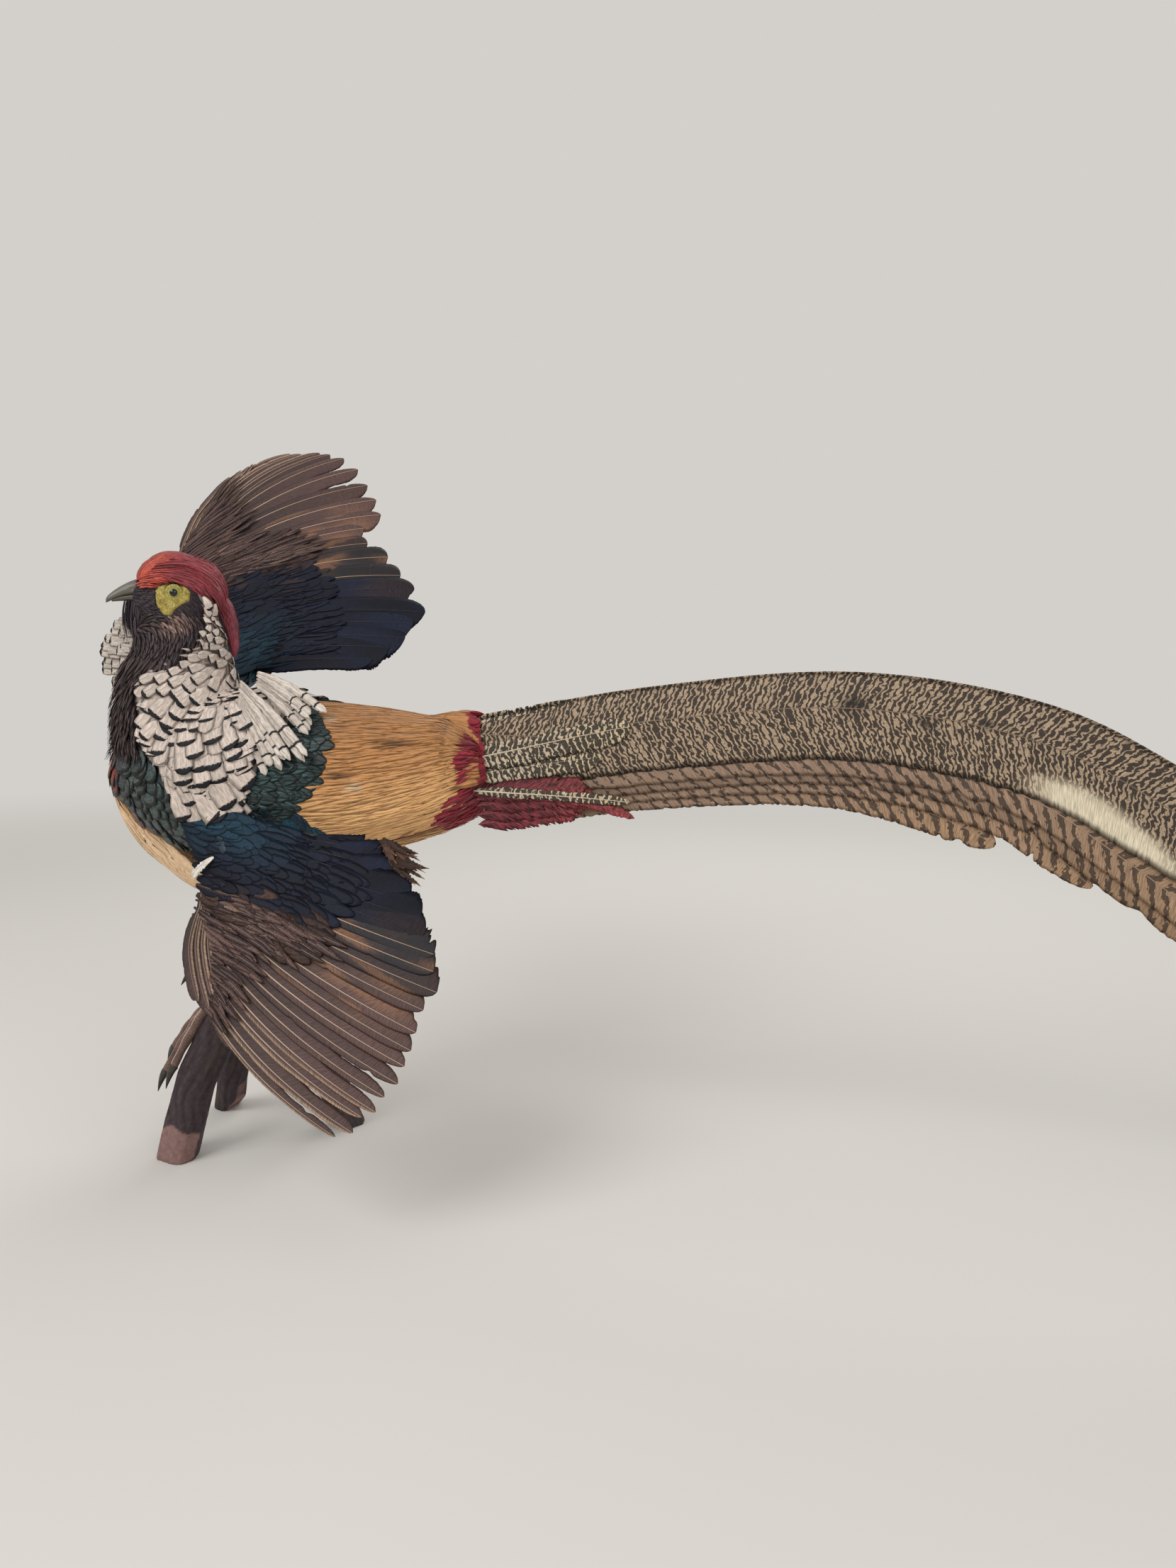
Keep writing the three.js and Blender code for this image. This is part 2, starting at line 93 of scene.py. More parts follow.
# Sets each socket to a value or a colour's code, or joins it to a socket or to a node's first
# output in use.
def wire(node, links):
    for socket, source in links.items():
        if isinstance(source, bpy.types.Node):
            source = next(output for output in source.outputs if output.enabled)
        if isinstance(source, str):
            source = linear(source)
        if isinstance(source, bpy.types.NodeSocket):
            node.id_data.links.new(source, node.inputs[socket])
        else:
            node.inputs[socket].default_value = source


def addNode(material, kind, settings=None, links=None):
    node = material.node_tree.nodes.new("ShaderNode" + kind)
    if isinstance(settings, str):
        settings = {"operation": settings}
    for key, value in (settings or {}).items():
        if key == "stops":  # a colour ramp's positions, each with its colour's code
            ramp = node.color_ramp
            while len(ramp.elements) < len(value):
                ramp.elements.new(0.5)
            for element, (position, code) in zip(ramp.elements, value.items()):
                element.position = position
                element.color = linear(code)
        else:
            setattr(node, key, value)
    wire(node, links or {})
    return node


def adder(material):  # addNode for one material
    return lambda kind, settings=None, links=None: addNode(material, kind, settings, links)


def newMaterial(name, shader):  # with its surface, and addNode for it
    material = bpy.data.materials.new(name)
    material.use_nodes = True
    surface = material.node_tree.nodes["Principled BSDF"]
    wire(surface, shader)
    return material, surface, adder(material)


# Settings that many nodes share.
eased = {"interpolation_type": "SMOOTHSTEP"}
inColour = {"data_type": "RGBA"}
onPlane = {"noise_dimensions": "2D"}


# Plumage takes each feather's own colour from the mesh, darkens its root and its edge, and
# draws the shaft and the barbs along the vane.
def plumeMaterial(name, look):
    material, surface, add = newMaterial(name, look["shader"])
    colour = add("Attribute", {"attribute_name": "plume"}).outputs["Color"]
    tint = add("Attribute", {"attribute_name": "tint"}).outputs["Fac"]
    place = add("SeparateXYZ", {}, {0: add("UVMap", {"uv_map": "Vane"})})
    across = add("Math", "MULTIPLY_ADD", {0: place, 1: 2.0, 2: -1.0})
    sideways = add("Math", "ABSOLUTE", {0: across})
    value = add("MapRange", {}, {0: tint, 3: 1 - look["varies"], 4: 1 + look["varies"]})
    colour = add("HueSaturation", {}, {"Value": value, "Color": colour})
    # Barbs about a millimetre apart, so that they can still be told apart at arm's length.
    stretch = add("Mapping", {}, {0: add("UVMap", {"uv_map": "Barb"}), 3: look["barbs"]})
    streak = add("TexNoise", onPlane, {"Vector": stretch, "Scale": 1.0, "Detail": 2.0})
    value = add("MapRange", {}, {
        0: streak, 1: 0.3, 2: 0.7, 3: 1 - look["streak"], 4: 1 + look["streak"]})
    colour = add("HueSaturation", {}, {"Value": value, "Color": colour})
    if "root" in look:
        fade = add("MapRange", eased, {
            0: place.outputs[1], 1: look["rootEnd"], 2: look["rootEnd"] * 0.4})
        colour = add("Mix", inColour, {0: fade, 6: colour, 7: look["root"]})
    if look.get("edge"):
        # Distance from the middle of the vane, which is 1 all round its edge.
        reach = add("MapRange", {}, {
            0: place.outputs[1], 1: look["edgeStart"], 2: 1.0, 3: 0.0, 4: 1.0})
        aside = add("Math", "MULTIPLY", {0: sideways, 1: look["edgeSides"]})
        ring = add("VectorMath", "LENGTH", {0: add("CombineXYZ", {}, {0: aside, 1: reach})})
        wobble = add("Math", "MULTIPLY_ADD", {0: streak, 1: 0.16, 2: -0.08})
        ring = add("Math", "ADD", {0: ring, 1: wobble})
        # The edge's colour starts and ends at these distances, and reaches this strength.
        first, last, most = look["edgeBand"]
        band = add("MapRange", {}, {0: ring, 1: first, 2: last, 3: 0.0, 4: most})
        # Feathers whose tint is below this share have no edge.
        some = add("Math", "GREATER_THAN", {0: tint, 1: look.get("edgeFew", -1.0)})
        amount = add("Math", "MULTIPLY", {0: band, 1: some})
        colour = add("Mix", inColour, {0: amount, 6: colour, 7: look["edge"]})
    if "shaft" in look:
        line = add("MapRange", eased, {
            0: sideways, 1: look["shaftWide"], 2: look["shaftWide"] * 0.4})
        colour = add("Mix", inColour, {0: line, 6: colour, 7: look["shaft"]})
    bump = add("Bump", {}, {"Strength": look["bump"], "Distance": 0.0004, "Height": streak})
    wire(surface, {"Base Color": colour, "Normal": bump})
    return material


# The head's own frame: reach toward the bill, rise up, side toward the bird's left.
def middle(node):
    low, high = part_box(node)
    return (np.array(low) + np.array(high)) / 2 / mm


eyeLeft = middle("eye_left")
eyeRight = middle("eye_right")
headCentre = (eyeLeft + eyeRight) / 2
leftward = (eyeLeft - eyeRight) / np.linalg.norm(eyeLeft - eyeRight)
upward = np.array([0, 0, 1.0])
backward = np.array([1.0, 0, 0])
turned = np.cross(leftward, upward)
bodyLean = math.radians(35)
dorsal = np.array([0, -math.sin(bodyLean), math.cos(bodyLean)])


def headPoint(reach, rise, side=0.0):
    reach, rise, side = (np.asarray(value)[..., None] for value in (reach, rise, side))
    return headCentre + turned * reach + upward * rise + leftward * side


def headPlace(points):  # reach, rise and side of each point
    away = points - headCentre
    return away @ turned, away @ upward, away @ leftward


def lengthOf(vectors):
    return np.linalg.norm(vectors, axis=-1)


def unit(vectors):
    return vectors / np.maximum(lengthOf(vectors), 1e-9)[..., None]


def dot(a, b):
    return np.sum(a * b, -1)


def pair(a, b):
    return np.stack(np.broadcast_arrays(a, b), -1)


def turnsOf(around):  # the angle of each corner round a ring
    return np.arange(around) * 2 * math.pi / around


def ringMap(around, stops):  # a map that runs round each ring and along the stops
    return pair((np.arange(around) + 0.5) / around, stops[:, None])[None]


def smooth(value, low, high):
    t = np.clip((value - low) / (high - low), 0, 1)
    return t * t * (3 - 2 * t)


# The point t of the way along a smooth curve through the points, for each t.
def curveAt(points, t):
    points = np.asarray(points, float)
    t = np.asarray(t, float)
    last = len(points) - 1
    whole = np.minimum((t * last).astype(int), last - 1)
    part = (t * last - whole)[..., None]
    ends = np.vstack([2 * points[0] - points[1], points, 2 * points[-1] - points[-2]])
    a, b, c, d = (ends[whole + k] for k in range(4))
    gapA, gapB, gapC = (np.maximum(lengthOf(q - p)[..., None], 1e-6) ** 0.5
                        for p, q in ((a, b), (b, c), (c, d)))
    start = ((b - a) / gapA - (c - a) / (gapA + gapB) + (c - b) / gapB) * gapB
    end = ((c - b) / gapB - (d - b) / (gapB + gapC) + (d - c) / gapC) * gapB
    return (b + start * part + (3 * (c - b) - 2 * start - end) * part ** 2
            + (2 * (b - c) + start + end) * part ** 3)


def markCorners(piece, name, values):  # a number, or a colour, for each corner of a mesh
    if values.ndim == 1:
        piece.data.attributes.new(name, "FLOAT", "POINT").data.foreach_set("value", values)
    else:
        colours = np.concatenate([values, np.ones((len(values), 1))], 1)
        layer = piece.data.attributes.new(name, "FLOAT_COLOR", "POINT")
        layer.data.foreach_set("color", colours.ravel())


# Meshes of many closed pieces, each a stack of rings with a cap at both ends. A part holds
# rings as (pieces, rings, around, xyz) in millimetres, with the maps and tints of each corner.
# A map that a part leaves out is the same as its vane's.
def ringMesh(name, parts, materials):
    corners, loops, sizes, slots = [], [], [], []
    maps = {"Vane": [], "Barb": [], "OFBake": []}
    plume, tint = [], []
    start = 0
    for part in parts:
        rings = part["rings"]
        shape = rings.shape[:3]
        pieces, count, around = shape
        index = start + np.arange(pieces * count * around).reshape(pieces, count, around)
        turn = np.roll(index, -1, axis=2)
        quads = np.stack([index[:, :-1], turn[:, :-1], turn[:, 1:], index[:, 1:]], -1).reshape(-1, 4)
        caps = np.concatenate([index[:, 0, ::-1], index[:, -1]])
        flat = rings.reshape(-1, 3)
        p, q, r, s = (flat[quads[:, k] - start] for k in range(4))
        volume = np.sum(np.cross(p, q) * r) + np.sum(np.cross(p, r) * s)
        if volume < 0:
            quads, caps = quads[:, ::-1], caps[:, ::-1]
        corners.append(flat)
        loops += [quads.ravel(), caps.ravel()]
        sizes += [np.full(len(quads), 4), np.full(len(caps), around)]
        slots.append(np.full(len(quads) + len(caps), part.get("slot", 0)))
        for key in maps:
            places = part.get(key, part["Vane"])
            maps[key].append(np.broadcast_to(places, shape + (2,)).reshape(-1, 2))
        colours = part.get("plume", np.zeros(3))
        plume.append(np.broadcast_to(colours, shape + (3,)).reshape(-1, 3))
        tint.append(np.broadcast_to(part.get("tint", 0.0), shape).ravel())
        start += len(flat)
    loops = np.concatenate(loops).astype(np.int32)
    sizes = np.concatenate(sizes)
    mesh = bpy.data.meshes.new(name)
    mesh.vertices.add(start)
    mesh.vertices.foreach_set("co", (np.concatenate(corners) * mm).ravel())
    mesh.loops.add(len(loops))
    mesh.loops.foreach_set("vertex_index", loops)
    mesh.polygons.add(len(sizes))
    starts = np.concatenate([[0], np.cumsum(sizes)[:-1]])
    mesh.polygons.foreach_set("loop_start", starts.astype(np.int32))
    mesh.polygons.foreach_set("material_index", np.concatenate(slots).astype(np.int32))
    mesh.polygons.foreach_set("use_smooth", np.ones(len(sizes), bool))
    for key, places in maps.items():
        layer = mesh.uv_layers.new(name=key, do_init=False)
        layer.data.foreach_set("uv", np.concatenate(places)[loops].astype(np.float32).ravel())
    mesh.update(calc_edges=True)
    for material in materials:
        mesh.materials.append(material)
    piece = bpy.data.objects.new(name, mesh)
    markCorners(piece, "plume", np.concatenate(plume))
    markCorners(piece, "tint", np.concatenate(tint))
    bpy.context.scene.collection.objects.link(piece)
    return piece


# Across a vane: the sideways place of each corner, from -1 to 1, and whether it is on top,
# below or on the edge.
slimVane = np.array([(-1, 0), (0, 1), (1, 0), (0, -1)], float)
broadVane = np.array([
    (-1, 0), (-0.55, 1), (0, 1.1), (0.55, 1), (1, 0), (0.55, -1), (0, -1), (-0.55, -1)])


def flightVane(columns):
    sides = np.linspace(-1, 1, columns)
    inner = sides[1:-1]
    top = np.stack([inner, np.ones(len(inner))], 1)
    return np.vstack([[(-1, 0)], top, [(1, 0)], (top * (1, -1))[::-1]])


# The vanes of feathers along their shaft lines, each line (feathers, rings, xyz). The halves
# are the widths left and right of the shaft, and slant sweeps the barbs toward the tip.
def vaneRings(lines, ups, halves, stops, columns, thick=0.3, arch=0.15, slant=0.0):
    along = unit(np.gradient(lines, axis=1))
    ups = unit(ups - along * dot(ups, along)[..., None])
    side = np.cross(along, ups)
    place, level = columns[:, 0], columns[:, 1]
    half = np.where(place < 0, halves[..., :1], halves[..., 1:])
    across = place * half
    sweep = slant * np.abs(across) * (1 - stops ** 4)[:, None]
    raised = thick * level / 2 - arch * place ** 2 * half
    rings = (lines[:, :, None] + side[:, :, None] * across[..., None]
             + ups[:, :, None] * raised[..., None] + along[:, :, None] * sweep[..., None])
    gone = np.concatenate([np.zeros((len(lines), 1)), np.cumsum(
        lengthOf(np.diff(lines, axis=1)), axis=1)], 1)
    vane = pair((place + 1) / 2, stops[:, None])[None]
    barb = pair(across / 10, gone[..., None] / 10)
    return {"rings": rings, "Vane": vane, "Barb": barb}


# The rachis of each feather: a tapering tube along its shaft line.
def shaftRings(lines, ups, radii, stops, around=6):
    along = unit(np.gradient(lines, axis=1))
    side = np.cross(along, ups)
    turn = turnsOf(around)
    radii = np.broadcast_to(radii, lines.shape[:2])[..., None, None]
    rings = lines[:, :, None] + radii * (side[:, :, None] * np.cos(turn)[:, None]
                                         + ups[:, :, None] * np.sin(turn)[:, None])
    vane = pair(np.full(around, 0.5), stops[:, None])[None]
    return {"rings": rings, "Vane": vane}


tuftPatch = 0.003  # how much of the bake map one tuft takes


def dress(part, plume, tint, roots, patch=tuftPatch):
    plume = np.asarray(plume)
    part["plume"] = plume[:, None, None] if plume.ndim == 2 else plume[:, :, None]
    part["tint"] = np.asarray(tint)[:, None, None]
    part["OFBake"] = np.asarray(roots)[:, None, None, :] + (part["Vane"] - 0.5) * patch
    return part


def finish(piece, slot, *nodes):
    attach(piece, "root")
    if nodes:
        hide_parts(*nodes)
    print("made", piece.name, len(piece.data.polygons), "faces")


# The skin: the body's solids joined into one closed surface, with the wings' arms, and drawn
# in by the depth of the coat.
wings = {
    "left": {
        "shoulder": (-17, 24, 238), "lean": 240.0, "camber": 12, "bow": 10,
        "lead": [(44, 124), (33, 94), (31, 66), (16, 36), (-10, 4)],
        "roots": [(36, 104), (38, 74), (64, 52), (92, 26)],
        "tips": [(164, 199), (188, 177), (198, 144), (201, 103), (184, 69), (137, 31)],
        "thumb": {"root": (38, 74), "tip": (76, 144), "bow": -5, "width": 19},
    },
    "right": {
        "shoulder": (-17, 94, 296), "lean": 47.0, "camber": 12, "bow": 8,
        "lead": [(-136, 192), (-134, 158), (-108, 126), (-66, 70), (-30, 14)],
        "roots": [(-126, 182), (-116, 150), (-62, 100), (-20, 34)],
        "tips": [(-84, 288), (-30, 280), (30, 216), (60, 154), (112, 84), (86, 42)],
        "thumb": {"root": (-130, 164), "tip": (-104, 262), "bow": -5, "width": 18},
        "notch": 9.4,
    },
}
feathersInWing = 19
covertEnd = 0.32  # how far the coverts cover the flight feathers


def wingOut(wing):
    lean = math.radians(wing["lean"])
    return np.array([0, math.cos(lean), math.sin(lean)])


def wingAbove(wing):
    above = np.cross(backward, wingOut(wing))
    return above if above[2] > 0 else -above


# A point of the wing's own plane: back along the body, out from it, and lifted off it.
def wingPoint(wing, flat, lift=0.0):
    back = flat[..., :1] - wing["shoulder"][0]
    return (np.array(wing["shoulder"]) + back * backward + flat[..., 1:] * wingOut(wing)
            + np.asarray(lift)[..., None] * wingAbove(wing))


# The point u of the way along flight feather i, which may be a fraction.
def featherPoint(wing, i, u, lift=0.0):
    t = np.clip(np.asarray(i, float) / (feathersInWing - 1), 0, 1)
    t, u = np.broadcast_arrays(t, np.asarray(u, float))
    root = curveAt(wing["roots"], t)
    shaft = curveAt(wing["tips"], t) - root
    side = unit(np.stack([-shaft[..., 1], shaft[..., 0]], -1))
    swell = 4 * u * (1 - u)
    flat = root + shaft * u[..., None] + side * (wing["bow"] * swell * (1 - t))[..., None]
    return wingPoint(wing, flat, lift + wing["camber"] * swell * (1 - 0.6 * t))


# The covert surface: a from the wing's tip (0) to the body (1), b from the leading edge (0)
# to where the coverts end (1), and beyond that along the flight feathers.
def armPoint(wing, a, b, lift=0.0):
    a, b = np.broadcast_arrays(np.asarray(a, float), np.asarray(b, float))
    lead = wingPoint(wing, curveAt(wing["lead"], np.clip(a, 0, 1)))
    i = a * (feathersInWing - 1)
    end = featherPoint(wing, i, covertEnd)
    ratio = lengthOf(end - lead) / lengthOf(
        featherPoint(wing, i, 1.0) - featherPoint(wing, i, 0.0))
    past = featherPoint(wing, i, covertEnd + ratio * np.maximum(b - 1, 0)) - end
    return (lead + (end - lead) * np.minimum(b, 1)[..., None] + past
            + np.asarray(lift)[..., None] * wingAbove(wing))


def armThickness(a, b):
    swell = np.sin(math.pi * np.clip(b * 1.05, 0, 1))
    return 2 + (8 * swell - 0.8) * (0.4 + 0.6 * a)


def selectOnly(active, *others):
    bpy.ops.object.select_all(action="DESELECT")
    for piece in (active, *others):
        piece.select_set(True)
    bpy.context.view_layer.objects.active = active


def copyOf(nodes, name):
    copies = []
    for node in nodes:
        piece = frame["nodes"][node].copy()
        piece.data = frame["nodes"][node].data.copy()
        piece.parent = None
        for key in list(piece.keys()):
            del piece[key]
        bpy.context.scene.collection.objects.link(piece)
        copies.append(piece)
    selectOnly(*copies)
    if len(copies) > 1:
        bpy.ops.object.join()
    piece = bpy.context.object
    piece.name = piece.data.name = name
    bpy.ops.object.mode_set(mode="EDIT")
    bpy.ops.mesh.select_all(action="SELECT")
    bpy.ops.mesh.remove_doubles(threshold=0.00001)
    bpy.ops.object.mode_set(mode="OBJECT")
    piece.data.materials.clear()
    return piece


def applyModifier(piece, kind, **settings):
    modifier = piece.modifiers.new(kind.lower(), kind)
    for key, value in settings.items():
        setattr(modifier, key, value)
    selectOnly(piece)
    bpy.ops.object.modifier_apply(modifier=modifier.name)


def readAll(items, key, width=3):  # the same value of every item of a mesh
    values = np.empty(len(items) * width)
    items.foreach_get(key, values)
    return values.reshape(-1, width)


def cornersOf(piece):
    return readAll(piece.data.vertices, "co") / mm


def normalsOf(piece):
    return readAll(piece.data.vertex_normals, "vector")


def moveCorners(piece, places):
    piece.data.vertices.foreach_set("co", (places * mm).ravel())
    piece.data.update()


def treeOf(piece):
    polygons = [tuple(p.vertices) for p in piece.data.polygons]
    return BVHTree.FromPolygons([tuple(c) for c in cornersOf(piece)], polygons)


def nearest(tree, points):
    places, normals, gaps = np.empty(points.shape), np.empty(points.shape), np.empty(len(points))
    for k, point in enumerate(points):
        place, normal, _, gap = tree.find_nearest(point)
        places[k], normals[k], gaps[k] = place, normal, gap
    return places, normals, gaps


# How deep the coat is, in millimetres, by the distance from the head.
coatDepth = {"head": 1.0, "body": 3.4, "from": 26, "to": 60}


def coatDepthAt(points):
    away = lengthOf(points - headCentre)
    deeper = smooth(away, coatDepth["from"], coatDepth["to"])
    return coatDepth["head"] + (coatDepth["body"] - coatDepth["head"]) * deeper


skinVoxel = 0.0018
fleshNodes = ["trunk", "rump", "neck", "head", "thigh_left", "thigh_right"]
skin = copyOf(fleshNodes, "skin")
applyModifier(skin, "DISPLACE", strength=0.0004, mid_level=0)
applyModifier(skin, "REMESH", mode="VOXEL", voxel_size=skinVoxel)
applyModifier(skin, "SMOOTH", factor=0.5, iterations=8)
flesh = cornersOf(skin)
moveCorners(skin, flesh - normalsOf(skin) * coatDepthAt(flesh)[:, None])

# Each wing's arm is a flattened tube under the coverts, from inside the shoulder to the tip.
for side, wing in wings.items():
    t = np.linspace(1.12, 0.05, 30)
    a = np.minimum(t, 1)
    inside = np.clip(t - 1, 0, 1)[:, None] * 160
    line = armPoint(wing, a, 0.34) - wingOut(wing) * inside
    wide = unit(armPoint(wing, a, 0.6) - armPoint(wing, a, 0.1))
    halfWide = (5 + 9 * np.clip(t, 0, 1))[:, None, None]
    halfThick = (1.5 + 1.6 * np.clip(t, 0, 1))[:, None, None]
    turn = turnsOf(16)[:, None]
    ringsHere = (line[:, None] + wide[:, None] * np.cos(turn) * halfWide
                 + wingAbove(wing) * np.sin(turn) * halfThick)[None]
    selectOnly(skin, ringMesh("arm", [{"rings": ringsHere, "Vane": np.zeros(2)}], []))
    bpy.ops.object.join()
applyModifier(skin, "REMESH", mode="VOXEL", voxel_size=skinVoxel)
applyModifier(skin, "SMOOTH", factor=0.5, iterations=3)
for layer in list(skin.data.uv_layers):
    skin.data.uv_layers.remove(layer)
print("skin joined", len(skin.data.polygons), "faces")

# Finer faces round the bare cheek, whose skin is covered in small warts.
facePatch = np.array([  # reach and rise of the bare skin's outline
    (11.6, -0.6), (9, 2.4), (1, 4.4), (-7, 2.7), (-10.4, -2), (-9.4, -7.2), (-4.4, -9.6),
    (-0.4, -12.6), (2.6, -16.6), (7.2, -17), (10, -13), (11.2, -9.4), (11.8, -5)])


def besideHead(points, aside=5):  # the head's own cheeks, and not its middle or the breast
    return (np.abs(headPlace(points)[2]) > aside) & (lengthOf(points - headCentre) < 34)


def insideFace(points, grow=0.0):
    reach, rise, _ = headPlace(points)
    spots = np.stack([reach, rise], -1)
    inside = np.zeros(len(points), bool)
    nearestEdge = np.full(len(points), 1e9)
    for (x, y), (u, v) in zip(facePatch, np.roll(facePatch, -1, axis=0)):
        crosses = (y > spots[:, 1]) != (v > spots[:, 1])
        at = x + (spots[:, 1] - y) / np.where(v == y, 1e-9, v - y) * (u - x)
        inside ^= crosses & (spots[:, 0] < at)
        run = np.array([u - x, v - y])
        t = np.clip(((spots - (x, y)) @ run) / (run @ run), 0, 1)
        nearestEdge = np.minimum(nearestEdge, lengthOf(spots - (x, y) - t[:, None] * run))
    return np.where(inside, nearestEdge, -nearestEdge) + grow  # positive inside


selectOnly(skin)
centres = readAll(skin.data.polygons, "center") / mm
fine = (insideFace(centres, 2.5) > 0) & besideHead(centres, 4)
bpy.ops.object.mode_set(mode="EDIT")
bpy.ops.mesh.select_all(action="DESELECT")
bpy.ops.object.mode_set(mode="OBJECT")
skin.data.polygons.foreach_set("select", fine)
bpy.ops.object.mode_set(mode="EDIT")
bpy.ops.mesh.select_mode(type="FACE")
bpy.ops.mesh.subdivide(number_cuts=2, smoothness=0.6)
bpy.ops.object.mode_set(mode="OBJECT")
skin.data.shade_smooth()

armNodes = ["wing_left_arm", "wing_right_arm"]
trees = {node: treeOf(copyOf([node], "guide_" + node))
         for node in fleshNodes + armNodes + ["crest", "cape"]}
for guide in [piece for piece in bpy.data.objects if piece.name.startswith("guide_")]:
    bpy.data.objects.remove(guide)

bodyLine = [headPoint(24, -2), headPoint(10, -4), headPoint(-6, -8), headPoint(-12, -22),
            headPoint(-6, -44), headPoint(-2, -70), headPoint(-2, -96), (-8, 54, 258), (20, 62, 250),
            (60, 72, 246), (110, 80, 249), (160, 84, 257), (215, 87, 268)]
bodySteps = curveAt(bodyLine, np.linspace(0, 1, 110))
bodyRuns = unit(np.gradient(bodySteps, axis=0))
bodyTops = [dorsal]  # the back's side of each step, carried forward from the tail to the bill
for run in bodyRuns[::-1]:
    bodyTops.append(unit(bodyTops[-1] - run * (bodyTops[-1] @ run)))
bodyTops = np.array(bodyTops[1:][::-1])


# The way the coat lies at each point: along the body, from the bill to the tail.
def lieOf(points, blend=16.0):
    gaps = lengthOf(points[:, None] - bodySteps[None])
    weights = np.exp(-((gaps - gaps.min(1, keepdims=True)) / blend * 2.2) ** 2)
    return unit(weights @ bodyRuns)


# How far along the body each point is, how far toward the belly, and its turn round the body.
def bodyShare(points):
    gaps = lengthOf(points[:, None] - bodySteps[None])
    closest = gaps.argmin(1)
    away = unit(points - bodySteps[closest])
    top, run = bodyTops[closest], bodyRuns[closest]
    turn = np.arctan2(dot(away, np.cross(run, top)), dot(away, top))
    return closest / (len(bodySteps) - 1), -(away @ dorsal), turn


regionNames = [
    "mantle", "rump", "foreneck", "face", "crest", "cape", "thigh", "belly", "hem", "bare", "arm"]
# Where the regions end, in millimetres: along the body, or from the head's centre.
regionEnds = {
    "mantle": 52, "hem": 172, "hemSlant": 22, "head": 60, "crestFront": 23, "crestBack": -40,
    "capeOver": 1.6}
# The dark cheek and foreneck end, and the cape begins, at this reach for each rise.
cheekEdge = np.array([
    (-150, 0), (-134.5, 6), (-118, 11), (-107, 20), (-96, 26), (-80, 24), (-60, 27), (-51, 12),
    (-47, 2), (-40, -8), (-32, -14), (-22, -17), (-12.5, -17), (-4.5, -15), (-1, -13), (4, -12)])
# The crest's lower edge: its rise for each reach.
crestEdge = np.array([
    (-35.4, -44.4), (-35, -35.3), (-34.3, -24), (-31, -14.5), (-26, -8.5), (-21, -5), (-14.7, -2.8),
    (-11.5, -0.5), (-7, 3.5), (1, 5), (7.6, 3.6), (11, 1.4), (21, 1.1), (24, 5)])
# How far up the sides of the body the belly's colour comes, for each place along it.
bellyEdge = np.array([(-75, 22), (-46, 24), (-42, 3), (-28, -8), (-4, -41), (40, -44), (170, -34)])
# The mantle ends at this place along the body for each height.
mantleEdge = np.array([(225, 60), (235, 68), (247, 78), (258, 86), (275, 88), (287, 79), (295, 70)])


def edgeAt(edge, value):
    return np.interp(value, edge[:, 0], edge[:, 1])


def pastBelly(points):
    return edgeAt(bellyEdge, points[:, 0]) - (points - (0, 60, 250)) @ dorsal


def regionsOf(points):
    gaps = {node: nearest(tree, points)[2] for node, tree in trees.items()}
    codes = np.array([0, 1, 2, 3, 6, 6, 10, 10])
    closest = np.argmin(np.stack([gaps[node] for node in fleshNodes + armNodes]), axis=0)
    region = codes[closest]
    reach, rise, _ = headPlace(points)
    nearHead = lengthOf(points - headCentre) < regionEnds["head"]
    belly = pastBelly(points)
    region[np.isin(region, (0, 1)) & (points[:, 0] > regionEnds["mantle"])] = 0
    region[(region == 0) & (points[:, 0] > edgeAt(mantleEdge, points[:, 2]))] = 1
    region[(belly > 0) & (region < 2)] = 7
    hemStart = regionEnds["hem"] - regionEnds["hemSlant"] * smooth(belly, -30, -5)
    region[(points[:, 0] > hemStart) & np.isin(region, (1, 7))] = 8
    behind = (reach < edgeAt(cheekEdge, rise)) | (rise < cheekEdge[0, 0])
    inCape = (gaps["cape"] < coatDepthAt(points) + regionEnds["capeOver"]) & (region != 10)
    region[behind & (inCape | np.isin(region, (2, 3)) & nearHead)] = 5
    crown = (reach < regionEnds["crestFront"]) & (reach > regionEnds["crestBack"])
    over = crown & (rise > edgeAt(crestEdge, reach))
    region[over & np.isin(region, (2, 3, 5)) & nearHead] = 4
    region[(insideFace(points) > 0) & besideHead(points)] = 9
    return region


paint = {name: shade(code) for name, code in {
    "mantle": "#2c403f", "rump": "#c08650", "foreneck": "#4c4043", "face": "#463d42",
    "crest": "#9c3a42", "cape": "#cebfb4", "thigh": "#7d5134", "belly": "#dcae78", "hem": "#8f1f30",
    "bare": "#b9a94e", "arm": "#141925", "ear": "#b89588", "rumpYellowAndLight": "#fdc684",
    "rumpBrown": "#9c7048", "forehead": "#c8503c", "nape": "#93404f", "breast": "#474b4a",
    "russet": "#6d3029", "brownNeck": "#4a3a38", "partingShade": "#3f2c20", "spot": "#dccfb4"}.items()}
# The dark slits are painted shade, where the rump's feathers part.
rumpMarks = [  # a slit or spot's place, its size each way, and its colour
    ((143, 44, 275), (13, 6, 2.2), "partingShade"), ((109, 28, 255), (7, 6, 2), "partingShade"),
    ((70, 30, 262), (6, 6, 2), "partingShade"), ((118, 32, 247), (3.4, 6, 2.4), "spot"),
    ((96, 41, 290), (2.5, 6, 2), "spot")]


